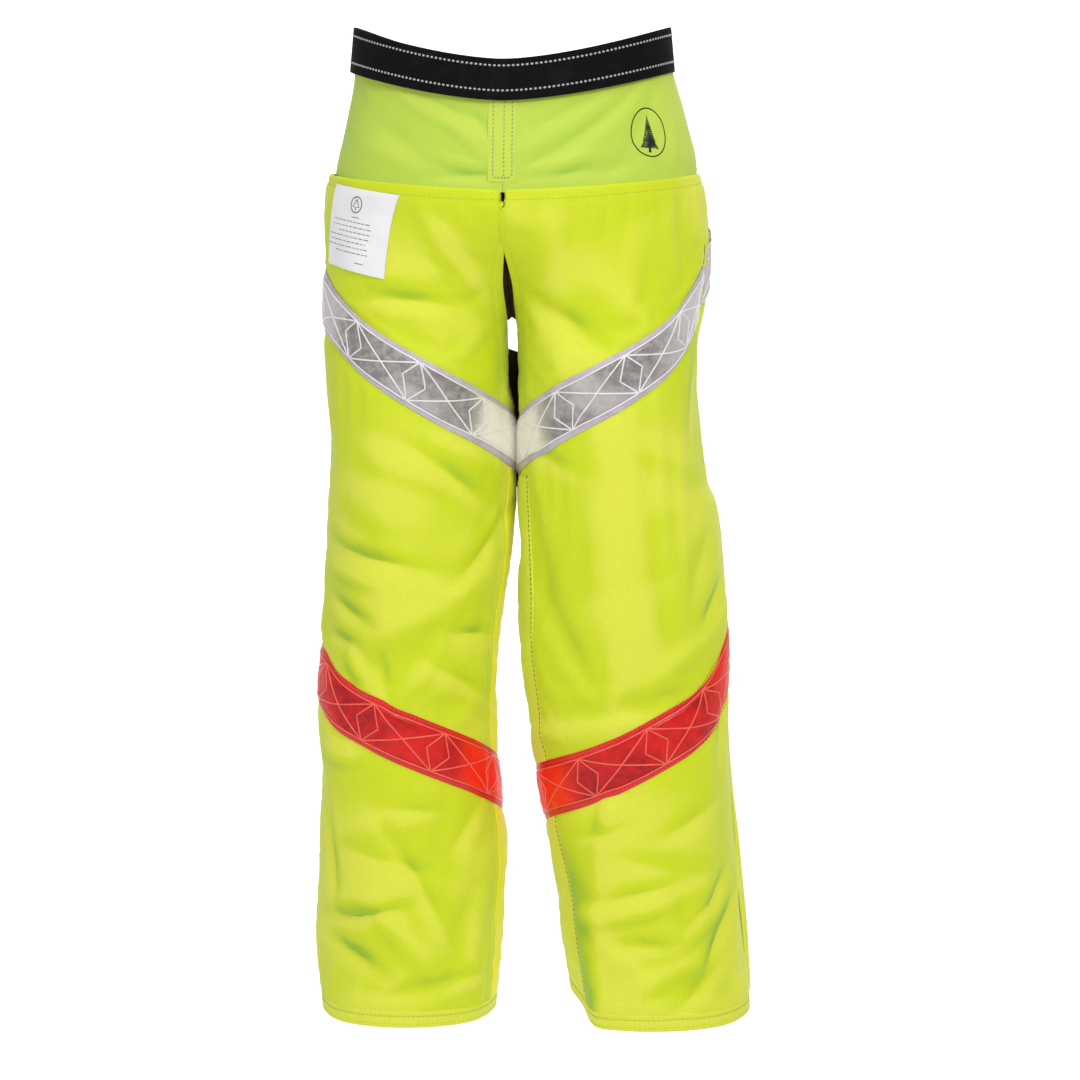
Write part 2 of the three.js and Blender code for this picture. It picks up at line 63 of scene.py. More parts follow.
# camera, light and floor
stageSettings = {
    "azimuth": 4.0,
    "elevation": 6.5,
    "distance": 4.0,
    "lens": 140.5,
    "target": (0.026, 0.0, -0.435),
    "floorLevel": -1.25,
    "floorColour": (0.9, 0.9, 0.9, 1),
    "worldColour": (1.0, 1.0, 1.0, 1),
    "worldStrength": 0.42,
}

lampSettings = [  # name, place, target, size, watts
    ("keyLamp", (1.1, -2.3, 1.5), (0, 0, -0.4), 0.8, 40),
    ("fillLamp", (-2.2, -2.0, 0.2), (0, 0, -0.5), 1.8, 13),
    ("wallLamp", (0.0, 2.9, 2.4), (0, 5.4, -0.6), 2.5, 110),
    ("sweepLamp", (0.0, 2.2, 2.8), (0, 2.9, -1.2), 2.5, 70),
    ("floorLamp", (0.0, -1.2, 2.4), (0, 0.3, -1.2), 2.5, 24),
]


def addCamera(settings):
    camera = bpy.data.objects.new("camera", bpy.data.cameras.new("camera"))
    bpy.context.scene.collection.objects.link(camera)
    bpy.context.scene.camera = camera
    a = math.radians(settings["azimuth"])
    e = math.radians(settings["elevation"])
    back = Vector((math.sin(a) * math.cos(e), -math.cos(a) * math.cos(e), math.sin(e)))
    camera.location = Vector(settings["target"]) + back * settings["distance"]
    camera.rotation_euler = (-back).to_track_quat("-Z", "Y").to_euler()
    camera.data.lens = settings["lens"]
    camera.data.clip_end = 50


def addLamps(lamps):
    for name, place, target, size, watts in lamps:
        lamp = bpy.data.objects.new(name, bpy.data.lights.new(name, "AREA"))
        lamp.data.size = size
        lamp.data.energy = watts
        lamp.location = place
        lamp.rotation_euler = (Vector(target) - Vector(place)).to_track_quat("-Z", "Y").to_euler()
        bpy.context.scene.collection.objects.link(lamp)


def addWorld(settings):
    world = bpy.data.worlds.new("studio")
    bpy.context.scene.world = world
    world.use_nodes = True
    background = world.node_tree.nodes["Background"]
    background.inputs["Color"].default_value = settings["worldColour"]
    background.inputs["Strength"].default_value = settings["worldStrength"]


addCamera(stageSettings)
addLamps(lampSettings)
addWorld(stageSettings)
bpy.context.scene.view_settings.view_transform = "Standard"
print("camera and lights ready")


# shader helpers
class Wire:  # a socket that takes part in arithmetic
    def __init__(self, recipe, socket):
        self.recipe = recipe
        self.socket = socket

    def maths(self, operation, *values):
        return self.recipe.node("ShaderNodeMath", {"operation": operation}, dict(enumerate(values)))

    def __add__(self, other):
        return self.maths("ADD", self, other)

    def __radd__(self, other):
        return self.maths("ADD", other, self)

    def __sub__(self, other):
        return self.maths("SUBTRACT", self, other)

    def __rsub__(self, other):
        return self.maths("SUBTRACT", other, self)

    def __mul__(self, other):
        return self.maths("MULTIPLY", self, other)

    def __rmul__(self, other):
        return self.maths("MULTIPLY", other, self)

    def sine(self):
        return self.maths("SINE", self)


mixSockets = {"first": 6, "second": 7, "result": 2}  # the colour sockets of a mix node


class Recipe:  # one node material
    def __init__(self, name, roughness):
        self.material = bpy.data.materials.new(name)
        self.material.use_nodes = True
        self.tree = self.material.node_tree
        self.shader = self.tree.nodes["Principled BSDF"]
        self.shader.inputs["Roughness"].default_value = roughness

    def put(self, socket, value):
        if isinstance(value, Wire):
            self.tree.links.new(value.socket, socket)
        else:
            socket.default_value = value

    def node(self, kind, settings=None, values=None, output=0):
        made = self.tree.nodes.new(kind)
        for key, value in (settings or {}).items():
            setattr(made, key, value)
        for key, value in (values or {}).items():
            self.put(made.inputs[key], value)
        return Wire(self, made.outputs[output])

    def place(self):
        return self.node("ShaderNodeTexCoord", output="Object")

    def cloth(self):  # metres along and across the cloth
        uv = self.node("ShaderNodeUVMap", {"uv_map": "cloth"})
        parts = self.node("ShaderNodeSeparateXYZ", values={0: uv}).socket.node
        return Wire(self, parts.outputs[0]), Wire(self, parts.outputs[1])

    def noise(self, scale, detail, roughness=0.5):
        values = {"Scale": scale, "Detail": detail, "Roughness": roughness, "Vector": self.place()}
        return self.node("ShaderNodeTexNoise", {"noise_dimensions": "3D"}, values)

    def between(self, value, low, high):  # 0 at low, 1 at high
        settings = {"interpolation_type": "SMOOTHSTEP", "clamp": True}
        return self.node("ShaderNodeMapRange", settings, {0: value, 1: low, 2: high})

    def mix(self, factor, first, second):
        made = self.tree.nodes.new("ShaderNodeMix")
        made.data_type = "RGBA"
        self.put(made.inputs["Factor"], factor)
        self.put(made.inputs[mixSockets["first"]], first)
        self.put(made.inputs[mixSockets["second"]], second)
        return Wire(self, made.outputs[mixSockets["result"]])

    def attribute(self, name):
        return self.node("ShaderNodeAttribute", {"attribute_name": name}, output="Fac")

    def bump(self, height, strength, distance):
        values = {"Height": height, "Strength": strength, "Distance": distance}
        return self.node("ShaderNodeBump", values=values)

    def finish(self, **sockets):
        for name, value in sockets.items():
            self.put(self.shader.inputs[name.replace("_", " ")], value)
        return self.material


def colour(red, green, blue):  # display values from 0 to 255
    def linear(c):
        c = c / 255
        return c / 12.92 if c <= 0.04045 else ((c + 0.055) / 1.055) ** 2.4
    return (linear(red), linear(green), linear(blue), 1.0)


def weave(recipe, pitch):  # height of a plain weave, from 0 to 1
    along, across = recipe.cloth()
    turn = math.pi / pitch
    warp = (along * turn).sine()
    weft = (across * turn).sine()
    return (warp * weft) * 0.5 + 0.5


def faded(rgb, share):  # a darker shade of a display colour
    return colour(*[int(c * share) for c in rgb])


# materials
# each cloth has its own colour, a greener painted shade colour and a paler painted highlight colour
clothSettings = {
    "shell": {
        "base": (208, 222, 18), "shaded": (142, 188, 28), "bright": (224, 229, 66),
        "rough": 0.62, "pitch": 0.0011,
    },
    "yoke": {
        "base": (186, 212, 72), "shaded": (152, 196, 66), "bright": (196, 216, 78),
        "rough": 0.7, "pitch": 0.0009,
    },
    "trim": {
        "base": (228, 232, 24), "shaded": (214, 222, 22), "bright": (240, 236, 44),
        "rough": 0.6, "pitch": 0.0011,
    },
}
paintedShadeTints = {"bright": (0.36, 0.04), "shaded": (0.34, 1.2), "uneven": 0.16}  # ranges of the painted shading that turn the colour to painted highlight and to painted shade; uneven adds random tone


def clothMaterial(name):
    s = clothSettings[name]
    r = Recipe(name + "Cloth", s["rough"])
    weft = weave(r, s["pitch"])
    broad = r.between(r.noise(7.0, 2.0), 0.35, 0.68)
    fine = r.between(r.noise(420.0, 2.0, 0.7), 0.3, 0.7)
    # painted shading: paler where slopes face the light, greener and darker in painted shade
    paintedShading = r.attribute("paintedShading")
    lit = r.between(paintedShading + (0.5 - broad) * paintedShadeTints["uneven"], *paintedShadeTints["bright"])
    tint = r.mix(lit, colour(*s["base"]), colour(*s["bright"]))
    tint = r.mix(r.between(paintedShading, *paintedShadeTints["shaded"]), tint, colour(*s["shaded"]))
    # fine random speckles of the same greener colour
    tint = r.mix(fine * 0.1, tint, colour(*s["shaded"]))
    crumple = r.noise(55.0, 4.0, 0.55)
    height = weft * 0.12 + crumple * 0.9 + fine * 0.15
    rough = s["rough"] + broad * 0.08 - fine * 0.05
    normal = r.bump(height, 0.35, 0.0012)
    r.shader.inputs["Sheen Weight"].default_value = 0.12
    r.shader.inputs["Sheen Roughness"].default_value = 0.5
    r.shader.inputs["Specular IOR Level"].default_value = 0.35
    return r.finish(Base_Color=tint, Roughness=rough, Normal=normal)


def liningMaterial():
    r = Recipe("liningKnit", 0.9)
    weft = weave(r, 0.0022)
    broad = r.between(r.noise(9.0, 3.0), 0.3, 0.7)
    tint = r.mix(broad, colour(52, 26, 14), colour(78, 42, 22))
    tint = r.mix(weft * 0.4, tint, colour(34, 16, 8))
    return r.finish(Base_Color=tint, Normal=r.bump(weft, 0.5, 0.0006))


webbingPitch = {"rib": 0.0022, "cord": 0.0045}


def webbingMaterial():
    r = Recipe("webbing", 0.72)
    along, across = r.cloth()
    rib = (along * (math.tau / webbingPitch["rib"])).sine() * 0.5 + 0.5
    cord = (across * (math.tau / webbingPitch["cord"])).sine() * 0.5 + 0.5
    worn = r.between(r.noise(60.0, 4.0, 0.6), 0.45, 0.8)
    tint = r.mix(rib * 0.6, colour(4, 3, 4), colour(15, 13, 14))
    tint = r.mix(worn * 0.2, tint, colour(30, 26, 28))
    normal = r.bump(rib * 0.7 + cord * 0.3, 0.8, 0.0005)
    r.shader.inputs["Specular IOR Level"].default_value = 0.15
    return r.finish(Base_Color=tint, Roughness=0.84 - worn * 0.15, Normal=normal)


def threadMaterial(name, rgb):
    r = Recipe(name, 0.6)
    twist = r.noise(900.0, 2.0, 0.6)
    tint = r.mix(twist * 0.5, colour(*rgb), faded(rgb, 0.7))
    return r.finish(Base_Color=tint, Normal=r.bump(twist, 0.4, 0.0003))


tapeColours = {
    "paleTape": {
        "fill": (164, 159, 157), "dark": (122, 116, 114), "glint": (206, 202, 200),
        "innerEnd": (226, 221, 206), "outerEnd": (208, 203, 201), "coat": 0.35,
    },
    "orangeTape": {
        "fill": (214, 12, 16), "dark": (158, 6, 14), "glint": (236, 30, 18),
        "innerEnd": (236, 40, 20), "outerEnd": (240, 48, 18), "coat": 0.1,
    },
}
milkyEnds = {"inner": (0.118, 0.085), "outer": (0.25, 0.3), "ragged": 0.012, "glow": 0.16}  # metres along, and the strength of the painted glow at the inner end


def tapeMaterial(name):
    s = tapeColours[name]
    r = Recipe(name, 0.35)
    along, _ = r.cloth()
    mottle = r.between(r.noise(130.0, 5.0, 0.65), 0.35, 0.7)
    cloud = r.between(r.noise(16.0, 2.0), 0.4, 0.65)
    fleck = r.between(r.noise(380.0, 2.0, 0.8), 0.6, 0.75)
    tint = r.mix(mottle, colour(*s["dark"]), colour(*s["fill"]))
    tint = r.mix(cloud * 0.55, tint, colour(*s["glint"]))
    tint = r.mix(fleck * 0.3, tint, colour(*s["glint"]))
    ragged = along + mottle * milkyEnds["ragged"]
    milky = r.between(ragged, *milkyEnds["inner"])
    tint = r.mix(milky * 0.9, tint, colour(*s["innerEnd"]))
    # painted glint: the film is lighter toward its outer end
    tint = r.mix(r.between(ragged, *milkyEnds["outer"]) * 0.8, tint, colour(*s["outerEnd"]))
    cell = r.node("ShaderNodeTexVoronoi", {"feature": "F1"}, {"Vector": r.place(), "Scale": 420.0})
    normal = r.bump(cell * 0.6 + mottle * 0.5, 0.3, 0.0006)
    r.shader.inputs["Coat Roughness"].default_value = 0.12
    rough = 0.42 - cloud * 0.14 + mottle * 0.1
    r.shader.inputs["Specular IOR Level"].default_value = 0.3
    r.shader.inputs["Emission Strength"].default_value = milkyEnds["glow"]  # painted glow: the milky inner end gives off light so it stays light in the shade between the legs
    glow = r.mix(milky, colour(0, 0, 0), colour(*s["innerEnd"]))
    return r.finish(Base_Color=tint, Roughness=rough, Coat_Weight=s["coat"], Emission_Color=glow,
                    Normal=normal)


def ribMaterial(name, rgb):
    r = Recipe(name, 0.35)
    worn = r.between(r.noise(90.0, 3.0), 0.3, 0.8)
    tint = r.mix(worn * 0.35, colour(*rgb), faded(rgb, 0.82))
    return r.finish(Base_Color=tint, Coat_Weight=0.3)


def marginMaterial(name, rgb):
    r = Recipe(name, 0.45)
    weft = weave(r, 0.0012)
    worn = r.between(r.noise(70.0, 4.0, 0.6), 0.35, 0.75)
    tint = r.mix(worn * 0.5, colour(*rgb), faded(rgb, 0.78))
    return r.finish(Base_Color=tint, Coat_Weight=0.15, Normal=r.bump(weft, 0.2, 0.0003))


def labelMaterial():
    r = Recipe("labelCloth", 0.55)
    weft = weave(r, 0.0006)
    broad = r.between(r.noise(24.0, 3.0), 0.3, 0.75)
    tint = r.mix(broad * 0.6, colour(246, 245, 247), colour(228, 227, 231))
    return r.finish(Base_Color=tint, Normal=r.bump(weft + broad, 0.25, 0.0004))


def inkMaterial(name, rgb, rough):
    r = Recipe(name, rough)
    crack = r.between(r.noise(500.0, 3.0, 0.7), 0.55, 0.8)
    tint = r.mix(crack * 0.3, colour(*rgb), colour(*[min(255, c + 60) for c in rgb]))
    return r.finish(Base_Color=tint)


def plasticMaterial():
    r = Recipe("bucklePlastic", 0.42)
    grain = r.noise(1500.0, 2.0, 0.6)
    scuff = r.between(r.noise(90.0, 5.0, 0.7), 0.55, 0.8)
    tint = r.mix(scuff * 0.4, colour(20, 20, 22), colour(52, 52, 55))
    normal = r.bump(grain, 0.25, 0.0003)
    return r.finish(Base_Color=tint, Roughness=0.4 + scuff * 0.25, Normal=normal)


def floorMaterial(settings):
    r = Recipe("paleFloor", 0.8)
    speck = r.noise(3.0, 3.0)
    tint = r.mix(speck * 0.15, settings["floorColour"], (0.86, 0.86, 0.87, 1))
    return r.finish(Base_Color=tint)


threadColours = {
    "beltThread": (186, 180, 186),
    "greyThread": (158, 170, 128),
    "limeThread": (206, 214, 60),
    "brownThread": (146, 142, 40),
    "paleThread": (222, 214, 222),
    "redThread": (244, 96, 84),
}

finishes = {name: clothMaterial(name) for name in clothSettings}
finishes["lining"] = liningMaterial()
finishes["webbing"] = webbingMaterial()
for name, rgb in threadColours.items():
    finishes[name] = threadMaterial(name, rgb)
for name in tapeColours:
    finishes[name] = tapeMaterial(name)
finishes["paleRib"] = ribMaterial("paleRib", (244, 240, 242))
finishes["orangeRib"] = ribMaterial("orangeRib", (250, 98, 78))
finishes["paleMargin"] = marginMaterial("paleMargin", (196, 186, 200))
finishes["orangeMargin"] = marginMaterial("orangeMargin", (224, 14, 20))
finishes["label"] = labelMaterial()
finishes["labelInk"] = inkMaterial("labelInk", (120, 118, 122), 0.6)
finishes["printInk"] = inkMaterial("printInk", (16, 24, 12), 0.5)
finishes["plastic"] = plasticMaterial()
print("materials ready")


# shapes of the waist and the legs, in millimetres
layers = {  # counted outwards from the lining's inner face
    "lining": 1.0,
    "padInner": 1.4,
    "shellOuter": 8.0,
    "tapeLift": 0.25,
    "tapeThickness": 0.9,
    "edgeRadius": 3.2,
}

pelvis = [(20, 138, 100), (-20, 142, 103), (-60, 155, 110), (-99, 166, 113), (-300, 172, 113)]

body = {
    "yokeSeam": -99,
    "thighTop": -290,
    "hemBottom": -892,
    "hemHeight": 14,
    "edgeGap": 0.4,
    "centreGap": 2,
    "beltSideRise": 29,
    "beltBackShare": -0.15,
    "seamSideRise": 10,
}
body["legTop"] = body["yokeSeam"] - body["edgeGap"]
body["legBottom"] = body["hemBottom"] + body["hemHeight"] + body["edgeGap"]

legRows = {  # height, middle, half width
    "left": [(-290, 92, 80), (-370, 95, 81), (-540, 105, 88), (-635, 112, 84), (-730, 122, 80),
             (-892, 139, 77)],
    "right": [(-290, -90, 78), (-370, -89, 78), (-540, -99, 75), (-635, -100, 77), (-730, -97, 80),
              (-892, -101, 76)],
}
depthRows = [(-290, -4, 82), (-480, 0, 79), (-730, 8, 74), (-892, 6, 76)]  # height, back, half depth
panelAngles = {"pelvis": (0, 100), "leg": (-12, 190)}
wrapAngles = {"pelvis": (100.3, 132), "leg": (190.4, 236)}


def hermite(t, start, startSlope, end, endSlope):  # a smooth curve between two values
    return ((2 * t**3 - 3 * t**2 + 1) * start + (t**3 - 2 * t**2 + t) * startSlope
            + (3 * t**2 - 2 * t**3) * end + (t**3 - t**2) * endSlope)


def tableAt(table, z, column):  # one column of a table of heights, smooth between its rows
    heights = np.array([row[0] for row in table], float)
    values = np.array([row[column] for row in table], float)
    last = len(table) - 1
    before = np.maximum(np.arange(last + 1) - 1, 0)
    after = np.minimum(np.arange(last + 1) + 1, last)
    slopes = (values[after] - values[before]) / (heights[after] - heights[before])
    z = np.clip(z, heights[-1], heights[0])
    i = np.clip(np.searchsorted(-heights, -z, side="right") - 1, 0, last - 1)
    span = heights[i + 1] - heights[i]
    t = (z - heights[i]) / span
    return hermite(t, values[i], span * slopes[i], values[i + 1], span * slopes[i + 1])


def smooth(t):
    t = np.clip(t, 0, 1)
    return t * t * (3 - 2 * t)


def lift(angle, z):  # how much higher the cloth hangs at the sides than at the front
    a = np.radians(np.minimum(np.abs(angle), 180))
    front = np.sin(np.minimum(a, math.pi / 2)) ** 1.6
    rear = 1 - (1 - body["beltBackShare"]) * 0.5 * (1 - np.cos(2 * (a - math.pi / 2)))
    share = np.where(a < math.pi / 2, front, rear)
    seam = body["yokeSeam"]
    up = np.minimum((z - seam) / -seam, 1)
    high = body["seamSideRise"] + (body["beltSideRise"] - body["seamSideRise"]) * up
    low = body["seamSideRise"] * (1 - smooth((z - seam) / (body["thighTop"] - seam)))
    return np.where(z > seam, high, low) * share


def pelvisPoint(angle, z, offset):
    angle, z, offset = np.broadcast_arrays(np.asarray(angle, float), np.asarray(z, float), offset)
    a = np.radians(angle)
    x = (tableAt(pelvis, z, 1) + offset) * np.sin(a)
    y = -(tableAt(pelvis, z, 2) + offset) * np.cos(a)
    return np.stack([x, y, z + lift(angle, z)], axis=-1)


def ovalPoint(side, angle, z, offset):
    a = np.radians(angle)
    rows = legRows[side]
    x = tableAt(rows, z, 1) - sides[side] * (tableAt(rows, z, 2) + offset) * np.cos(a)
    y = tableAt(depthRows, z, 1) - (tableAt(depthRows, z, 2) + offset) * np.sin(a)
    return np.stack([x, y, z + 0 * x], axis=-1)


def panelPoint(side, angles, u, z, offset):
    u, z, offset = np.broadcast_arrays(np.asarray(u, float), np.asarray(z, float), offset)
    (p0, p1), (l0, l1) = angles["pelvis"], angles["leg"]
    high = pelvisPoint(p0 + (p1 - p0) * u, z, offset)
    high[..., 0] = sides[side] * (high[..., 0] + body["centreGap"] * (1 - u))
    low = ovalPoint(side, l0 + (l1 - l0) * u, z, offset)
    t = smooth((body["legTop"] - z) / (body["legTop"] - body["thighTop"]))[..., None]
    mixed = high * (1 - t) + low * t
    mixed[..., 2] = high[..., 2]
    return mixed


shadeFrom = np.array([0.38, -0.6, 0.7])  # painted shading: slopes turned away from this light direction get painted shade, slopes facing it a painted highlight
paintedShadeLevels = {"plain": 0.3, "slope": 2.3, "height": 24, "level": 0.28}


def gridValue(grid, column, row):  # the value between a grid's four nearest points
    c = np.clip(np.floor(column).astype(int), 0, grid.shape[1] - 2)
    r = np.clip(np.floor(row).astype(int), 0, grid.shape[0] - 2)
    fc, fr = column - c, row - r
    if grid.ndim == 3:
        fc, fr = fc[..., None], fr[..., None]
    return ((1 - fr) * ((1 - fc) * grid[r, c] + fc * grid[r, c + 1])
            + fr * ((1 - fc) * grid[r + 1, c] + fc * grid[r + 1, c + 1]))


class Surface:  # a sheet of cloth that other pieces are laid on and sewn to
    def __init__(self, base, top, bottom, columns, rows, shape=None, move=None):
        self.top, self.bottom = top, bottom
        self.columns, self.rows = columns, rows
        us = np.linspace(0, 1, columns)
        zs = np.linspace(top, bottom, rows)
        self.u, self.z = np.meshgrid(us, zs)
        self.points = base(self.u, self.z, 0.0)
        out = base(self.u, self.z, 1.0) - self.points
        if move is not None:
            self.points = self.points + move(self.u, self.z, self.points)
        self.normals = self.faceNormals(out)
        # painted shading starts at a plain level
        self.paintedShading = np.full(self.u.shape, paintedShadeLevels["plain"])
        if shape is not None:
            plain = self.normals
            moved = shape(self.u, self.z)
            self.points = self.points + self.normals * moved[..., None]
            self.normals = self.faceNormals(out)
            # painted shading: slopes turned from the light and dents are painted as shade, raised parts as
            # lit
            turned = ((plain - self.normals) * shadeFrom).sum(axis=-1)
            level = turned * paintedShadeLevels["slope"] - moved / paintedShadeLevels["height"] + paintedShadeLevels["level"]
            self.paintedShading = np.clip(level, 0, 1)
        self.puff = np.zeros(self.u.shape)
        steps = np.linalg.norm(np.diff(self.points, axis=1), axis=2)
        self.width = steps.sum(axis=1).mean()

    def faceNormals(self, out):
        across = np.gradient(self.points, axis=1)
        down = np.gradient(self.points, axis=0)
        normal = np.cross(across, down)
        normal /= np.maximum(np.linalg.norm(normal, axis=-1, keepdims=True), 1e-9)
        flip = np.sign((normal * out).sum(axis=-1, keepdims=True))
        return normal * np.where(flip == 0, 1, flip)

    def sample(self, grid, u, z):
        column = np.asarray(u, float) * (self.columns - 1)
        row = (self.top - np.asarray(z, float)) / (self.top - self.bottom) * (self.rows - 1)
        return gridValue(grid, column, row)

    def at(self, u, z, offset, puffed=False):
        u, z, offset = np.broadcast_arrays(np.asarray(u, float), np.asarray(z, float), offset)
        normal = self.sample(self.normals, np.clip(u, 0, 1), z)
        normal = normal / np.linalg.norm(normal, axis=-1, keepdims=True)
        if puffed:
            offset = offset + self.sample(self.puff, np.clip(u, 0, 1), z)
        return self.sample(self.points, u, z) + normal * offset[..., None]


# mesh helpers
def newPiece(name, points, faces, finish, uv=None, paintedShading=None, smoothFaces=True):
    mesh = bpy.data.meshes.new(name)
    mesh.from_pydata((np.asarray(points) * mm).tolist(), [], faces)
    if uv is not None:
        loops = np.array([v for face in faces for v in face])
        layer = mesh.uv_layers.new(name="cloth")
        layer.data.foreach_set("uv", (np.asarray(uv)[loops] * mm).astype(np.float32).ravel())
    # the painted shading is stored on each point for the cloth colour
    if paintedShading is not None:
        attribute = mesh.attributes.new("paintedShading", "FLOAT", "POINT")
        attribute.data.foreach_set("value", np.asarray(paintedShading, np.float32).ravel())
    mesh.polygons.foreach_set("use_smooth", [smoothFaces] * len(mesh.polygons))
    mesh.update()
    piece = bpy.data.objects.new(name, mesh)
    bpy.context.scene.collection.objects.link(piece)
    mesh.materials.append(finishes[finish])
    return piece


def slabFaces(rows, columns):
    faces = []
    layer = rows * columns
    for r in range(rows - 1):
        for c in range(columns - 1):
            a = r * columns + c
            faces.append((a, a + 1, a + columns + 1, a + columns))
            faces.append((layer + a, layer + a + columns, layer + a + columns + 1, layer + a + 1))
        a, b = r * columns, (r + 1) * columns
        faces.append((a, b, layer + b, layer + a))
        a, b = a + columns - 1, b + columns - 1
        faces.append((b, a, layer + a, layer + b))
    for a in range(columns - 1):
        b = (rows - 1) * columns + a
        faces.append((a + 1, a, layer + a, layer + a + 1))
        faces.append((b, b + 1, layer + b + 1, layer + b))
    return faces


def slab(name, outer, inner, finish, paintedShading=None):  # a sheet between two grids of points
    rows, columns = outer.shape[:2]
    points = np.concatenate([outer.reshape(-1, 3), inner.reshape(-1, 3)])
    faces = slabFaces(rows, columns)
    across = np.cross(outer[0, 1] - outer[0, 0], outer[1, 0] - outer[0, 0])
    if np.dot(across, outer[0, 0] - inner[0, 0]) < 0:
        faces = [face[::-1] for face in faces]
    steps = np.linalg.norm(np.diff(outer, axis=1), axis=2)
    x = np.concatenate([np.zeros((rows, 1)), np.cumsum(steps, axis=1)], axis=1)
    steps = np.linalg.norm(np.diff(outer, axis=0), axis=2)
    y = np.concatenate([np.zeros((1, columns)), np.cumsum(steps, axis=0)], axis=0)
    uv = np.stack([x, y], axis=-1).reshape(-1, 2)
    both = None if paintedShading is None else np.concatenate([paintedShading.ravel(), paintedShading.ravel()])
    return newPiece(name, points, faces, finish, np.concatenate([uv, uv]), both)


edgeShares = (0, 0.06, 0.2, 0.42, 0.7, 1.0)


def edgeSteps(length, spacing, radius, first=True, last=True):
    # stations across a sheet from 0 to 1, closer together where its edges are rounded
    fine = [share * radius for share in edgeShares]
    start = fine if first else [0.0]
    end = [length - f for f in reversed(fine)] if last else [length]
    count = max(int((end[0] - start[-1]) / spacing), 1)
    middle = np.linspace(start[-1], end[0], count + 1)[1:-1]
    return np.array([*start, *middle, *end]) / length


def roundness(distance, radius):  # share of the full thickness this far from an edge
    t = np.clip(distance / radius, 0, 1)
    return np.sqrt(np.clip(1 - (1 - t) ** 2, 0.01, 1))


def tubeFaces(start, rings, around):  # the skin and both ends of a run of rings of points
    faces = []
    for k in range(rings - 1):
        for j in range(around):
            a, b = start + k * around + j, start + k * around + (j + 1) % around
            faces.append((a, b, b + around, a + around))
    end = start + (rings - 1) * around
    faces.append(tuple(start + j for j in reversed(range(around))))
    faces.append(tuple(end + j for j in range(around)))
    return faces


stitchShares = [(0.35, 0.15), (1, 1), (1, 1), (0.35, 0.15)]  # width and height at four stations


def stitches(name, path, normals, finish, length=3.0, gap=1.6, width=0.9, height=0.55, sink=0.25):
    path, normals = np.asarray(path, float), np.asarray(normals, float)
    steps = np.linalg.norm(np.diff(path, axis=0), axis=1)
    along = np.concatenate([[0], np.cumsum(steps)])
    count = int(along[-1] / (length + gap))
    points, faces = [], []
    for i in range(count):
        middle = (i + 0.5) * (length + gap)
        span = [middle - length / 2, middle - length / 4, middle + length / 4, middle + length / 2]
        at = np.stack([np.interp(span, along, path[:, k]) for k in range(3)], axis=1)
        up = np.array([np.interp(middle, along, normals[:, k]) for k in range(3)])
        up /= np.linalg.norm(up)
        ahead = at[3] - at[0]
        ahead /= np.linalg.norm(ahead)
        sideways = np.cross(ahead, up)
        start = len(points)
        for k, (wide, high) in enumerate(stitchShares):
            half = sideways * width / 2 * wide
            points += [at[k] - half - up * sink, at[k] - half * 0.8 + up * height * high * 0.75,
                       at[k] + up * height * high, at[k] + half * 0.8 + up * height * high * 0.75,
                       at[k] + half - up * sink]
        faces += tubeFaces(start, len(stitchShares), 5)
    return newPiece(name, points, faces, finish)


def cords(name, lines, finish, width=1.5, height=0.5, sink=0.2):
    # raised lines: each is a list of points and a list of normals
    points, faces = [], []
    for path, normals in lines:
        path, normals = np.asarray(path, float), np.asarray(normals, float)
        ahead = np.gradient(path, axis=0)
        ahead /= np.maximum(np.linalg.norm(ahead, axis=1, keepdims=True), 1e-9)
        sideways = np.cross(ahead, normals)
        start = len(points)
        for p, s, n in zip(path, sideways, normals):
            points += [p - s * width / 2 - n * sink, p - s * width * 0.32 + n * height,
                       p + s * width * 0.32 + n * height, p + s * width / 2 - n * sink]
        faces += tubeFaces(start, len(path), 4)
    return newPiece(name, points, faces, finish)


def fixNormals(piece):
    work = bmesh.new()
    work.from_mesh(piece.data)
    bmesh.ops.recalc_face_normals(work, faces=work.faces)
    work.to_mesh(piece.data)
    work.free()


def followHip(piece, side):
    fixNormals(piece)
    "thigh_" + side
    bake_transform(piece)


def followKnee(piece, side):
    fixNormals(piece)
    "thigh_" + side
    "shin_" + side
    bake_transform(piece)


def rideOn(piece, name):
    fixNormals(piece)
    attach(piece, name)


# leg panels
legSettings = {
    "columns": 97,
    "rows": 265,
    "spacing": 4.0,
    "waviness": 1.4,
    "relief": 1.15,
    "topEdge": 16.0,
    "stitchInset": 6.5,
    "tapePinch": 1.6,
    "foldWidth": 285,
}

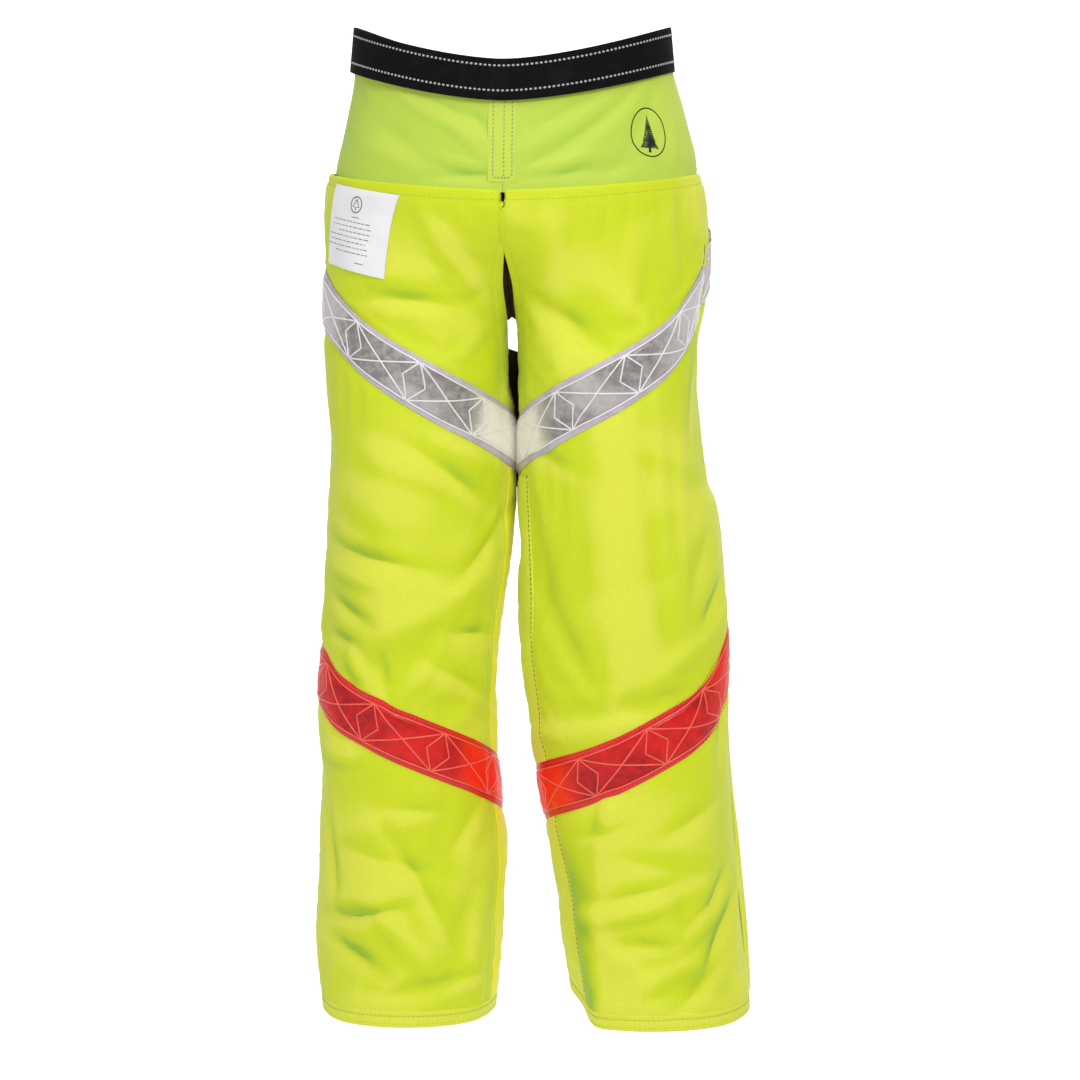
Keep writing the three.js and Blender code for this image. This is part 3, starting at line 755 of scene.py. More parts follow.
# each dent or swelling: across (0 inner edge to 1 outer edge), height, tilt in degrees from
# level (positive rises outwards), half length, half width, depth (negative goes in)
dents = {
    "right": [
        (0.43, -204, 0, 36, 9, -3.0), (0.45, -182, 0, 50, 16, 1.6), (0.20, -160, 70, 50, 14, 1.6),
        (0.35, -372, 35, 36, 9, -3.4), (0.52, -358, 20, 42, 14, 3.0), (0.36, -345, 25, 40, 10, 1.8),
        (0.645, -443, 12, 48, 9, -4.6), (0.66, -418, 25, 40, 16, -1.8), (0.68, -462, 5, 40, 9, 2.6),
        (0.25, -444, -45, 46, 10, -3.4), (0.33, -470, -40, 40, 12, 1.8), (0.245, -518, 10, 24, 7, -3.0),
        (0.71, -495, 20, 24, 7, -3.0), (0.73, -524, 10, 20, 6, -2.4), (0.50, -505, -30, 60, 16, 1.4),
        (0.655, -548, 60, 20, 8, 2.6), (0.465, -562, -60, 24, 8, 2.6), (0.56, -556, 80, 22, 7, -2.2),
        (0.30, -560, 30, 34, 8, -2.0), (0.73, -634, 0, 26, 9, 3.0), (0.465, -683, 0, 22, 8, -2.6),
        (0.60, -700, -20, 50, 14, 1.8), (0.665, -786, -10, 34, 8, -5.2), (0.62, -768, -15, 40, 10, 2.8),
        (0.69, -824, 22, 24, 8, -4.0), (0.79, -724, 80, 42, 7, -3.4), (0.44, -764, 62, 60, 9, -2.8),
        (0.53, -800, 50, 50, 10, 1.8), (0.27, -809, 88, 56, 12, 1.8), (0.36, -850, -10, 44, 9, -1.8),
        (0.30, -700, -50, 40, 9, -1.8), (0.55, -735, 15, 46, 10, -1.6),
    ],
    "left": [
        (0.33, -222, -30, 36, 10, -3.2), (0.42, -200, -30, 50, 16, 1.6), (0.85, -296, 75, 30, 8, -4.4),
        (0.33, -352, -20, 26, 9, -2.4), (0.62, -400, 30, 70, 24, 1.8), (0.30, -455, 70, 50, 12, -1.8),
        (0.36, -520, -60, 44, 12, -1.8), (0.80, -450, 60, 44, 10, -2.2), (0.85, -491, 50, 30, 8, -4.6),
        (0.74, -530, 35, 44, 10, 2.0), (0.24, -612, 10, 24, 9, 2.0), (0.85, -614, 80, 26, 7, -3.4),
        (0.43, -686, 70, 20, 6, 3.4), (0.40, -704, 20, 24, 7, -2.2), (0.68, -695, 30, 34, 9, -2.4),
        (0.47, -778, 15, 46, 8, 3.6), (0.48, -762, 15, 44, 8, -2.6), (0.76, -768, 45, 28, 7, -4.6),
        (0.78, -806, 50, 32, 7, -5.6), (0.72, -790, 40, 34, 8, 3.0), (0.50, -810, 0, 28, 7, -2.0),
        (0.60, -835, 25, 44, 9, 1.8), (0.68, -850, 40, 36, 8, -2.4), (0.58, -735, -10, 46, 10, -1.6),
        (0.55, -580, 10, 60, 14, -1.6), (0.72, -350, -20, 50, 14, 1.6), (0.55, -470, 20, 60, 14, -1.4),
    ],
}

# standing folds where the padding turns: rows of height, across and how high the fold stands
ridges = {
    "left": [
        {"rows": [(-110, 0.09, 1.5), (-200, 0.24, 4), (-335, 0.49, 5), (-450, 0.50, 5.5), (-580, 0.48, 5),
                  (-650, 0.45, 2)], "width": 34, "soft": 6},
        {"rows": [(-670, 0.41, 1), (-720, 0.39, 5), (-800, 0.355, 7), (-892, 0.325, 7)],
         "width": 26, "soft": 3},
    ],
    "right": [
        {"rows": [(-300, 0.62, 0), (-420, 0.58, 3), (-560, 0.55, 3), (-640, 0.5, 1)],
         "width": 40, "soft": 10},
        {"rows": [(-660, 0.25, 0), (-740, 0.24, 2.5), (-892, 0.24, 3)], "width": 26, "soft": 6},
    ],
}

foldHollow = {"top": -690, "full": -800, "from": 0.31, "width": 30, "depth": 9}  # left shin, inner side


def ripples(u, z, seed, size):  # smooth unevenness, the same on every run
    draw = random.Random(seed)
    total = np.zeros(np.shape(u))
    for _ in range(14):
        fu, fz = draw.uniform(1.5, 7), draw.uniform(6, 26)
        pu, pz = draw.uniform(0, math.tau), draw.uniform(0, math.tau)
        lean = draw.uniform(-3, 3)
        wave = np.sin(fu * u * 2 + lean * z / 100 + pu) * np.sin(fz * z / 1000 * 2 + pz)
        total = total + wave / (0.6 + fu * 0.25)
    return total * size / 3


def creaseHeight(creases, u, z, width):  # soft dents and swellings, each a tilted oval
    total = np.zeros(np.shape(u))
    for u0, z0, tilt, halfLength, halfWidth, depth in creases:
        t = math.radians(tilt)
        dx, dz = (u - u0) * width, z - z0
        along = dx * math.cos(t) + dz * math.sin(t)
        across = -dx * math.sin(t) + dz * math.cos(t)
        total = total + depth * np.exp(-((along / halfLength) ** 2) - (across / halfWidth) ** 2)
    return total


contours = {  # height, how far the inner and the outer side stand out from the plain oval
    "left": [(-99, 0, 4), (-130, 0, 6), (-170, -1, 2), (-230, -4, -5), (-285, -4, -5), (-330, -1, -3),
             (-380, 0, 1), (-400, 0, 7), (-445, -1, 8), (-492, 1, 7), (-540, 0, 4), (-600, -1, 3),
             (-680, 0, 3), (-730, -3, 4), (-777, -3, 3), (-830, 0, 4), (-892, 0, 2)],
    "right": [(-99, 0, 0), (-130, 0, 0), (-170, 0, 0), (-230, 1, 2), (-285, 2, 0), (-315, 7, 0), (-378, 8, 1),
              (-445, 6.5, 1), (-492, 4, 0), (-540, 0, 0), (-600, 0, 3), (-680, 0, 1), (-730, 2, 2),
              (-777, 1, 3), (-830, 1, 2), (-892, 0, -2)],
}


def ridgeHeight(side, u, z, width):
    total = np.zeros(np.shape(u))
    for ridge in ridges[side]:
        rows = ridge["rows"]
        inRange = smooth((rows[0][0] + 20 - z) / 40) * smooth((z - rows[-1][0] + 20) / 40)
        if rows[-1][0] <= body["hemBottom"]:
            inRange = smooth((rows[0][0] + 20 - z) / 40)
        off = (u - tableAt(rows, z, 1)) * width
        near = np.sqrt(off**2 + ridge["soft"] ** 2) - ridge["soft"]
        total = total + inRange * tableAt(rows, z, 2) * np.exp(-near / ridge["width"])
    return total


def legShape(side):
    width = legSettings["foldWidth"]

    def shape(u, z):
        fade = smooth((body["legTop"] - z) / 40)
        relief = creaseHeight(dents[side], u, z, width) * legSettings["relief"]
        relief = relief + ripples(u, z, 5 + sides[side], legSettings["waviness"])
        relief = relief + ridgeHeight(side, u, z, width)
        if side == "left":
            down = smooth((foldHollow["top"] - z) / (foldHollow["top"] - foldHollow["full"]))
            off = (u - foldHollow["from"]) * width + foldHollow["width"]
            relief = relief - down * foldHollow["depth"] * np.exp(-((off / foldHollow["width"]) ** 2))
        rows = contours[side]
        inner, outer = tableAt(rows, z, 1), tableAt(rows, z, 2)
        return relief * fade + inner * smooth((0.26 - u) / 0.26) + outer * smooth((u - 0.62) / 0.3)

    return shape


slit = {  # where the two panels' inner edges meet: height and distance left of the middle
    "line": [(-99, 0), (-200, 0), (-226, 1.5), (-250, 4), (-283, 3), (-312, 6), (-378, 6.5), (-420, 5)],
    "closed": -122, "open": -192, "half": 0.4, "notch": 5,
}


hemRise = {"left": (27, 5), "right": (5, 8)}  # how much higher the hem hangs at its inner and outer corner


def legMove(side):
    def move(u, z, points):
        share = smooth((z - slit["open"]) / (slit["closed"] - slit["open"])) * smooth((0.17 - u) / 0.17)
        meet = tableAt(slit["line"], z, 1) + sides[side] * slit["half"]
        x = (meet - points[..., 0]) * share * smooth((0.05 - u) / 0.05 + 0.6)
        rise = hemRise[side][0] * smooth((0.34 - u) / 0.34) * smooth((-760 - z) / 130)
        rise = rise + hemRise[side][1] * smooth((u - 0.72) / 0.28) * smooth((-820 - z) / 70)
        drop = slit["notch"] * smooth((0.035 - u) / 0.035) * smooth((z + 116) / 16)
        return np.stack([x, 0 * x, rise - drop], axis=-1)

    return move


def layOut(side, angles, columns, rows, shape, move=None):
    def base(u, z, offset):
        return panelPoint(side, angles, u, z, offset)

    return Surface(base, body["legTop"], body["hemBottom"], columns, rows, shape, move)


legs = {
    side: layOut(side, panelAngles, legSettings["columns"], legSettings["rows"], legShape(side),
                 legMove(side))
    for side in sides
}

wrapBulge = {  # height, how far the wrap panel stands out beside the leg panel's outer edge
    "left": [(-99, 0), (-130, 2), (-160, 6), (-215, 8), (-250, 2), (-340, 0), (-400, 0), (-480, 0), (-640, 1),
             (-720, 5), (-850, 6), (-892, 3)],
    "right": [(-99, 0), (-892, 0)],
}


def wrapShape(side):
    def shape(u, z):
        beside = smooth((u + 0.03) / 0.06) * smooth((0.75 - u) / 0.6)
        edge = tableAt(contours[side], z, 2) * smooth((0.6 - u) / 0.6)
        return edge + tableAt(wrapBulge[side], z, 1) * beside + ripples(u, z, 44, 0.9) * smooth(u / 0.2)

    return shape


wraps = {side: layOut(side, wrapAngles, 33, 133, wrapShape(side)) for side in sides}

tapes = {  # each middle line runs from the inner edge (0) round to the wrap panel (over 1)
    "thigh": {
        "width": 50, "slant": 1.1, "flat": (0.385, 0.054),
        "left": [(0, -356), (0.25, -325), (0.47, -290), (0.69, -250), (0.82, -220), (0.9, -208), (0.98, -198),
                 (1.05, -178), (1.3, -172), (1.75, -170)],
        "right": [(0, -349), (0.12, -334), (0.36, -300), (0.51, -273), (0.63, -251), (0.73, -231),
                  (0.82, -216), (0.9, -211), (1, -206), (1.75, -190)],
    },
    "shin": {
        "width": 50, "slant": 1.07, "flat": (0.37, 0.053),
        "left": [(0, -682), (0.18, -669), (0.4, -648), (0.63, -614), (0.73, -599), (0.82, -579), (0.88, -560),
                 (0.94, -547), (1, -540), (1.75, -537)],
        "right": [(0, -674), (0.1, -665), (0.34, -634), (0.62, -597), (0.74, -583), (0.83, -568),
                  (0.92, -563), (1, -559), (1.75, -552)],
    },
}
seamPlaces = {  # height, how far across the topstitching beside the inner edge lies
    "left": [(-99, 0.03), (-170, 0.04), (-201, 0.07), (-251, 0.16), (-316, 0.20), (-562, 0.21),
             (-892, 0.225)],
    "right": [(-99, 0.035), (-153, 0.04), (-200, 0.08), (-252, 0.14), (-328, 0.16), (-450, 0.15),
              (-585, 0.165), (-728, 0.185), (-892, 0.19)],
}


def tapeMiddle(tape, side, t):
    rows = [(-place, level) for place, level in tape[side]]
    return tableAt(rows, -np.asarray(t, float), 1)


def tapeTall(tape):
    return tape["width"] * tape["slant"]  # measured straight down


puffReach = {"tape": 7, "seam": 3.5, "edge": 3.0, "top": 4, "topLine": 7}  # how far each seam pulls in


def puffUp(surface, side):  # the shell swells between its seams
    u, z = surface.u, surface.z
    lines = []
    for tape in tapes.values():
        middle, half = tapeMiddle(tape, side, u), tapeTall(tape) / 2
        lines += [np.abs(z - middle - half), np.abs(z - middle + half)]
    pinch = sum(np.exp(-((line / puffReach["tape"]) ** 2)) for line in lines)
    inner = (u - tableAt(seamPlaces[side], z, 1)) * surface.width
    outer = (1 - u) * surface.width - legSettings["stitchInset"]
    pinch = pinch + 0.7 * np.exp(-((inner / puffReach["seam"]) ** 2))
    pinch = pinch + np.exp(-((outer / puffReach["edge"]) ** 2))
    down = body["legTop"] - z - puffReach["topLine"]
    pinch = pinch + np.exp(-((down / puffReach["top"]) ** 2)) * 0.8
    surface.puff = -legSettings["tapePinch"] * np.clip(pinch, 0, 1.2)


for side in sides:
    puffUp(legs[side], side)

besideSeam = {"inside": 0.015, "blend": 0.03, "from": -330, "over": 60, "amount": 0.3}


def shadeBesideSeam(surface, s):  # painted shade where the left panel turns away between its inner edge and its topstitching
    across = smooth((seamPlaces["left"][-1][1] - s["inside"] - surface.u) / s["blend"])
    down = smooth((s["from"] - surface.z) / s["over"])
    surface.paintedShading = np.clip(surface.paintedShading + s["amount"] * (across * down), 0, 1)


shadeBesideSeam(legs["left"], besideSeam)


simSettings = {
    "step": 2, "frames": 18, "grow": 0.012, "pressure": 0.5, "cap": 3.2,
    "quality": 6, "mass": 0.25, "stiffness": 20, "bending": 0.6, "gravity": 0.4,
    "tapeHold": 3, "edgeHold": 9, "seamHold": 5, "topHold": 10, "hemHold": 20,
    "labelAcross": (0.31, 0.8), "labelBottom": -192,
}


def heldPlaces(side, u, z):  # where the shell is sewn down
    s, leg = simSettings, legs[side]
    held = np.minimum(u, 1 - u) * leg.width < s["edgeHold"]
    held |= (z > body["legTop"] - s["topHold"]) | (z < body["hemBottom"] + s["hemHold"])
    held |= np.abs(u - tableAt(seamPlaces[side], z, 1)) * leg.width < s["seamHold"]
    for tape in tapes.values():
        held |= np.abs(z - tapeMiddle(tape, side, u)) < tapeTall(tape) / 2 + s["tapeHold"]
    if side == "right":
        inner, outer = s["labelAcross"]
        held |= (u > inner) & (u < outer) & (z > s["labelBottom"])
    return held


def blowOut(start, held):  # the points of a grid of cloth after the simulation, in metres
    s = simSettings
    rows, columns = held.shape
    faces = [(r * columns + c, r * columns + c + 1, (r + 1) * columns + c + 1, (r + 1) * columns + c)
             for r in range(rows - 1) for c in range(columns - 1)]
    mesh = bpy.data.meshes.new("settling")
    mesh.from_pydata(start.reshape(-1, 3).tolist(), [], faces)
    cloth = bpy.data.objects.new("settling", mesh)
    bpy.context.scene.collection.objects.link(cloth)
    group = cloth.vertex_groups.new(name="held")
    group.add(np.flatnonzero(held.ravel()).tolist(), 1.0, "REPLACE")
    settings = cloth.modifiers.new("cloth", "CLOTH").settings
    settings.vertex_group_mass = "held"
    settings.quality = s["quality"]
    settings.mass = s["mass"]
    settings.tension_stiffness = s["stiffness"]
    settings.compression_stiffness = s["stiffness"]
    settings.bending_stiffness = s["bending"]
    settings.shrink_min = -s["grow"]
    settings.use_pressure = True
    settings.uniform_pressure_force = s["pressure"]
    settings.effector_weights.gravity = s["gravity"]
    scene = bpy.context.scene
    for now in range(1, s["frames"] + 1):
        scene.frame_set(now)
    posed = cloth.evaluated_get(bpy.context.evaluated_depsgraph_get())
    end = np.empty(rows * columns * 3, np.float32)
    posed.data.vertices.foreach_get("co", end)
    scene.frame_set(1)
    bpy.data.objects.remove(cloth)
    bpy.data.meshes.remove(mesh)
    return end.reshape(start.shape)


def settlePadding(side):
    # the shell is cut a little larger than the pads and held at its seams, so it swells and wrinkles
    s, leg = simSettings, legs[side]
    step = s["step"]
    u, z = leg.u[::step, ::step], leg.z[::step, ::step]
    normals = leg.normals[::step, ::step]
    start = (leg.points[::step, ::step] + normals * layers["shellOuter"]) * mm
    end = blowOut(start, heldPlaces(side, u, z))
    moved = ((end - start) / mm * normals).sum(axis=-1)
    moved = s["cap"] * np.tanh(moved / s["cap"])
    print(f"{side} padding settled: from {moved.min():.1f} to {moved.max():.1f} mm")
    rows, columns = u.shape
    column = np.clip(leg.u * (columns - 1), 0, columns - 1.001)
    row = np.clip((leg.top - leg.z) / (leg.top - leg.bottom) * (rows - 1), 0, rows - 1.001)
    fine = gridValue(moved, column, row)
    leg.puff = leg.puff + fine
    # painted shading: lighter where the shell swells out, darker where it sinks
    leg.paintedShading = np.clip(leg.paintedShading - fine / paintedShadeLevels["height"], 0, 1)


for side in sides:
    settlePadding(side)


def rounded(outer, inner, factor):  # both faces of a sheet, drawn together at its edges
    middle, half = (outer + inner) / 2, (outer - inner) / 2
    return middle + half * factor, middle - half * factor


panelTall = {"upper": 250, "lower": 530}


def panelGrid(side, part, spacing):
    # columns and rows of the panel above or below the line hidden under the thigh tape
    leg, radius = legs[side], layers["edgeRadius"]
    us = edgeSteps(leg.width, spacing, radius)
    cut = tapeMiddle(tapes["thigh"], side, us)
    if part == "upper":
        t = edgeSteps(panelTall[part], spacing, legSettings["topEdge"], last=False)[:, None]
        z = body["legTop"] + (cut - body["legTop"]) * t
        down = (body["legTop"] - z) * radius / legSettings["topEdge"]
    else:
        t = edgeSteps(panelTall[part], spacing, radius, first=False)[:, None]
        z = cut + (body["legBottom"] - cut) * t
        down = np.full(z.shape, float(panelTall[part]))  # its ends have no rounded edge
    u = np.broadcast_to(us, z.shape)
    edge = np.minimum(np.minimum(u, 1 - u) * leg.width, down)
    return u, z, edge


pads = {"upper": "thigh_pad_", "lower": "shin_pad_"}


def makePanel(side, part):
    leg = legs[side]
    u, z, edge = panelGrid(side, part, legSettings["spacing"])
    factor = roundness(edge, layers["edgeRadius"])
    outer, inner = rounded(layers["shellOuter"], layers["padInner"], factor)
    top = leg.at(u, z, outer + leg.sample(leg.puff, u, z) * factor)
    low = leg.at(u, z, inner)
    # the panel's painted shading
    paintedShading = leg.sample(leg.paintedShading, u, z)
    name = f"{part}Panel_{side}"
    piece = slab(name, top, low, "shell", paintedShading)
    lining = slab(f"{part}Lining_{side}", leg.at(u, z, layers["lining"]), leg.at(u, z, 0.0), "lining")
    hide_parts(f"shell_{side}", pads[part] + side)
    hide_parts(f"lining_{side}")
    follow = followHip if part == "upper" else followKnee
    follow(piece, side)
    follow(lining, side)


def seamLine(surface, u, z, above):
    path = surface.at(u, z, layers["shellOuter"] + above, puffed=True)
    normal = surface.sample(surface.normals, np.clip(u, 0, 1), z)
    return path, normal


seamThreads = {  # the left panel's lower topstitching shows darker and stands on the binding
    "plain": {"thread": "limeThread", "above": 0.0, "width": 0.9},
    "dark": {"thread": "brownThread", "above": 0.6, "width": 1.3},
}


def makeSideSeam(side, edge, part, top, bottom):
    leg = legs[side]
    s = seamThreads["dark" if (side, edge, part) == ("left", "inner", "lower") else "plain"]
    z = np.linspace(float(top), float(bottom), 160)
    if edge == "inner":
        u = tableAt(seamPlaces[side], z, 1)
    else:
        u = np.full(z.shape, 1 - legSettings["stitchInset"] / leg.width)
    path, normal = seamLine(leg, u, z, s["above"])
    return stitches(f"{edge}Seam_{part}_{side}", path, normal, s["thread"], 3.4, 1.2,
                    width=s["width"], height=0.4)


def makeSeams(side):
    for edge, place in (("inner", 0.15), ("outer", 1)):
        middle = float(tapeMiddle(tapes["thigh"], side, place))
        followHip(makeSideSeam(side, edge, "upper", body["legTop"] - 8, middle + 26), side)
        followKnee(makeSideSeam(side, edge, "lower", middle - 30, body["legBottom"] + 3), side)
    u = np.linspace(0.01, 0.99, 160)
    path, normal = seamLine(legs[side], u, np.full(u.shape, body["legTop"] - 9.0), 0.0)
    piece = stitches(f"topSeam_{side}", path, normal, "limeThread", width=0.8, height=0.3)
    followHip(piece, side)


hemSettings = {
    "radius": 2.6, "over": 2.5, "outer": 0.7, "inner": -0.6,
    "rows": [(0.82, 0.9, 0.09), (0.3, 0.6, 0.08)],  # each stitch row's height, groove depth and width
}


def makeHem(side):
    s, leg = hemSettings, legs[side]
    radius = s["radius"]
    us = edgeSteps(leg.width, legSettings["spacing"], radius)
    tall = body["hemHeight"] + s["over"]
    zs = body["hemBottom"] + tall * (1 - edgeSteps(tall, 2.0, radius))
    u, z = np.meshgrid(us, zs)
    edge = np.minimum(np.minimum(u, 1 - u) * leg.width,
                      np.minimum(z - body["hemBottom"], (body["hemBottom"] + tall + 0.1 - z) * 3))
    up = (z - body["hemBottom"]) / body["hemHeight"]
    groove = sum(depth * np.exp(-(((up - share) / wide) ** 2)) for share, depth, wide in s["rows"])
    outer, inner = rounded(layers["shellOuter"] + s["outer"], s["inner"], roundness(edge, radius))
    piece = slab(f"hemBand_{side}", leg.at(u, z, outer - groove), leg.at(u, z, inner), "shell")
    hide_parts(f"hem_{side}")
    rideOn(piece, "shin_" + side)
    u = np.linspace(0.01, 0.99, 160)
    for k, (share, _, _) in enumerate(s["rows"]):
        z = np.full(u.shape, body["hemBottom"] + body["hemHeight"] * share)
        path = leg.at(u, z, layers["shellOuter"] + 0.2)
        normal = leg.sample(leg.normals, u, z)
        row = stitches(f"hemStitch{k}_{side}", path, normal, "limeThread", width=0.8, height=0.4)
        rideOn(row, "shin_" + side)


slitShadeSettings = {"top": -88, "bottom": -385, "gap": 0.15, "hole": (-226, -250), "step": 5, "lip": 9}


def makeSlitShadeSheet(side):
    # dark lining cloth turned in along the inner edge that closes most of the slit between the legs; it
    # stands partly for the lining and partly as painted shade where the legs press together
    s, leg = slitShadeSettings, legs[side]
    zs = np.linspace(s["top"], s["bottom"], 120)
    inside = leg.at(np.full(zs.shape, 0.05), zs, -0.6)
    edge = leg.at(np.full(zs.shape, 0.004), zs, 1.2)
    high, low = s["hole"]
    hole = smooth((high + s["step"] - zs) / s["step"]) * smooth((zs - low + s["step"]) / s["step"])
    line = tableAt(slit["line"], zs, 1) + sides[side] * s["gap"]
    tip = np.stack([line + (edge[:, 0] - line) * hole, np.maximum(edge[:, 1], -104) + 5, zs - 2], axis=-1)
    lip = tip + np.stack([0 * zs, np.full(zs.shape, s["lip"]), 0 * zs], axis=-1)
    rows = np.stack([inside, edge + [0, 1.5, 0], tip * 0.5 + edge * 0.5 + [0, 1.5, 0], tip, lip], axis=1)
    back = rows + np.array([0.0, 0.8, 0.0])
    back[:, 3:, 0] += sides[side] * 0.8
    piece = slab(f"slitShadeSheet_{side}", rows, back, "lining")
    followHip(piece, side)


bindingSettings = {  # past: where the strip ends, counted from the topstitching
    "left": {"past": 2.5, "finish": "shell"},
    "right": {"past": -8.5, "finish": "trim"},
}


def makeBinding(side):
    # a strip of brighter cloth bound over the inner edge, out to its topstitching
    leg = legs[side]
    share = np.concatenate([[0, 0.02, 0.06, 0.12], np.linspace(0.2, 0.9, 9), [0.96, 1.0]])
    rise = np.concatenate([[0, 0.3, 0.55], np.full(10, 0.65), [0.5, 0.1]])
    top = float(tapeMiddle(tapes["thigh"], side, 0.05)) - 20
    zs = np.linspace(top, float(body["legBottom"]), int((top - body["legBottom"]) / 4))
    v, z = np.meshgrid(share, zs)
    u = v * (tableAt(seamPlaces[side], z, 1) + bindingSettings[side]["past"] / leg.width)
    sunk = layers["shellOuter"] + leg.sample(leg.puff, u, z)
    factor = roundness(u * leg.width, layers["edgeRadius"])
    half = (layers["shellOuter"] + layers["padInner"]) / 2
    skin = half + (sunk - half) * factor
    piece = slab(f"innerBinding_{side}", leg.at(u, z, skin + rise), leg.at(u, z, skin - 0.3),
                 bindingSettings[side]["finish"])
    followKnee(piece, side)


wrapSettings = {
    "thigh": {"top": -118, "bottom": -352, "flat": (0.076, 0.234)},
    "calf": {"top": -507, "bottom": -872, "flat": (0.068, 0.365)},
}
wrapSkin = {"outer": 8.2, "inner": 6.8, "wave": 1.2, "edge": 1.2, "stitchInset": 5}


def makeWrap(side, part):
    s = wrapSettings[part]
    wrap, radius = wraps[side], wrapSkin["edge"]
    us = edgeSteps(wrap.width, 4, radius)
    zs = s["top"] + (s["bottom"] - s["top"]) * edgeSteps(s["top"] - s["bottom"], 5, radius)
    u, z = np.meshgrid(us, zs)
    edge = np.minimum(np.minimum(u, 1 - u) * wrap.width, np.minimum(s["top"] - z, z - s["bottom"]))
    outer, inner = rounded(wrapSkin["outer"], wrapSkin["inner"], roundness(edge, radius))
    wave = ripples(u, z, 40 + len(part), wrapSkin["wave"])
    piece = slab(f"{part}Wrap_{side}", wrap.at(u, z, outer + wave), wrap.at(u, z, inner + wave), "shell")
    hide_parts(f"{part}_wrap_{side}")
    follow = followHip if part == "thigh" else followKnee
    follow(piece, side)
    inset = wrapSkin["stitchInset"]
    z = np.linspace(s["top"] - inset, s["bottom"] + inset, 120)
    u = np.full(z.shape, 1 - inset / wrap.width)
    path = wrap.at(u, z, wrapSkin["outer"] + ripples(u, z, 40 + len(part), wrapSkin["wave"]))
    row = stitches(f"{part}WrapSeam_{side}", path, wrap.sample(wrap.normals, u, z), "limeThread",
                   width=0.8, height=0.35)
    follow(row, side)


for side in sides:
    for part in ("upper", "lower"):
        makePanel(side, part)
    makeSeams(side)
    makeBinding(side)
    makeSlitShadeSheet(side)
    makeHem(side)
    for part in wrapSettings:
        makeWrap(side, part)
print("leg panels ready")


# tapes
tapePattern = {"period": 74, "half": 19.0, "diamond": 12.5, "line": 1.6}
patternStarts = {"thigh": {"left": 59, "right": 26}, "shin": {"left": 46, "right": 52}}
tapeLooks = {
    "thigh": {"margin": "paleMargin", "film": "paleTape", "rib": "paleRib", "thread": "paleThread",
              "slot": "pale_tape"},
    "shin": {"margin": "orangeMargin", "film": "orangeTape", "rib": "orangeRib", "thread": "redThread",
             "slot": "orange_tape"},
}
tapeLay = {"overWrap": 8.6, "edge": 1.0, "filmStart": 1.5, "filmEnd": 4, "film": 0.25, "stitchRow": 22.6}


def strapPoint(side, t, z, above):
    # a point over the panel, or past its outer edge over the wrap panel
    leg, wrap = legs[side], wraps[side]
    t, z = np.broadcast_arrays(np.asarray(t, float), np.asarray(z, float))
    over = t > 1
    fore = leg.at(np.minimum(t, 1), z, layers["shellOuter"] + above, puffed=True)
    aft = wrap.at(np.clip(t - 1, 0, 1), z, tapeLay["overWrap"] + above)
    near = leg.at(np.minimum(t, 1), z, layers["shellOuter"] + 0.6 + above)
    share = smooth((t - 0.96) / 0.04)[..., None]
    fore = fore * (1 - share) + near * share
    normal = np.where(over[..., None], wrap.sample(wrap.normals, np.clip(t - 1, 0, 1), z),
                      leg.sample(leg.normals, np.clip(t, 0, 1), z))
    return np.where(over[..., None], aft, fore), normal


class TapeRun:  # places on one tape, in millimetres along it and square to it
    def __init__(self, side, tape):
        self.side, self.tape = side, tape
        fore = np.linspace(0.002, 1, 90)
        self.ts = np.concatenate([fore, 1 + np.linspace(0, 0.75, 16)[1:]])
        middle, _ = strapPoint(side, self.ts, tapeMiddle(tape, side, self.ts), 1.0)
        steps = np.linalg.norm(np.diff(middle, axis=0), axis=1)
        self.run = np.concatenate([[0], np.cumsum(steps)])
        self.end = self.run[-1] - tapeLay["filmEnd"]
        slope = np.gradient(tapeMiddle(tape, side, self.ts), self.run)
        self.slope = np.convolve(np.pad(slope, 6, mode="edge"), np.ones(13) / 13, mode="valid")

    def place(self, along, across, above):
        sine = np.interp(along, self.run, self.slope)
        cosine = np.sqrt(np.maximum(1 - sine**2, 0.05))
        t = np.interp(along - across * sine / cosine, self.run, self.ts)
        z = tapeMiddle(self.tape, self.side, np.interp(along, self.run, self.ts)) + across * cosine
        return strapPoint(self.side, t, z, above)

    def line(self, points, above, most=3.0):
        path = []
        for (a0, c0), (a1, c1) in zip(points, points[1:]):
            count = max(int(math.hypot(a1 - a0, c1 - c0) / most), 1)
            for k in range(count):
                path.append((a0 + (a1 - a0) * k / count, c0 + (c1 - c0) * k / count))
        path.append(points[-1])
        path = np.array([p for p in path if tapeLay["filmStart"] < p[0] < self.end])
        return [self.place(path[:, 0], path[:, 1], above)] if len(path) > 1 else []


def tapeMargin(run, name, looks):
    side, tape = run.side, run.tape
    tall = tapeTall(tape)
    t, v = np.meshgrid(run.ts, 0.5 - edgeSteps(tall, 4, tapeLay["edge"]))
    z = tapeMiddle(tape, side, t) + v * tall
    factor = roundness(np.minimum(0.5 - v, v + 0.5) * tall, tapeLay["edge"])
    outer, inner = rounded(layers["tapeLift"] + layers["tapeThickness"], layers["tapeLift"], factor)
    top, _ = strapPoint(side, t, z, outer)
    low, _ = strapPoint(side, t, z, inner)
    return slab(name, top, low, looks["margin"])


def tapeFilm(run, name, looks, skin):
    along = np.linspace(tapeLay["filmStart"], run.end, 110)
    half = tapePattern["half"]
    along, across = np.meshgrid(along, np.linspace(-half, half, 11))
    top, _ = run.place(along, across, skin + tapeLay["film"])
    low, _ = run.place(along, across, skin - 0.1)
    return slab(name, top, low, looks["film"])


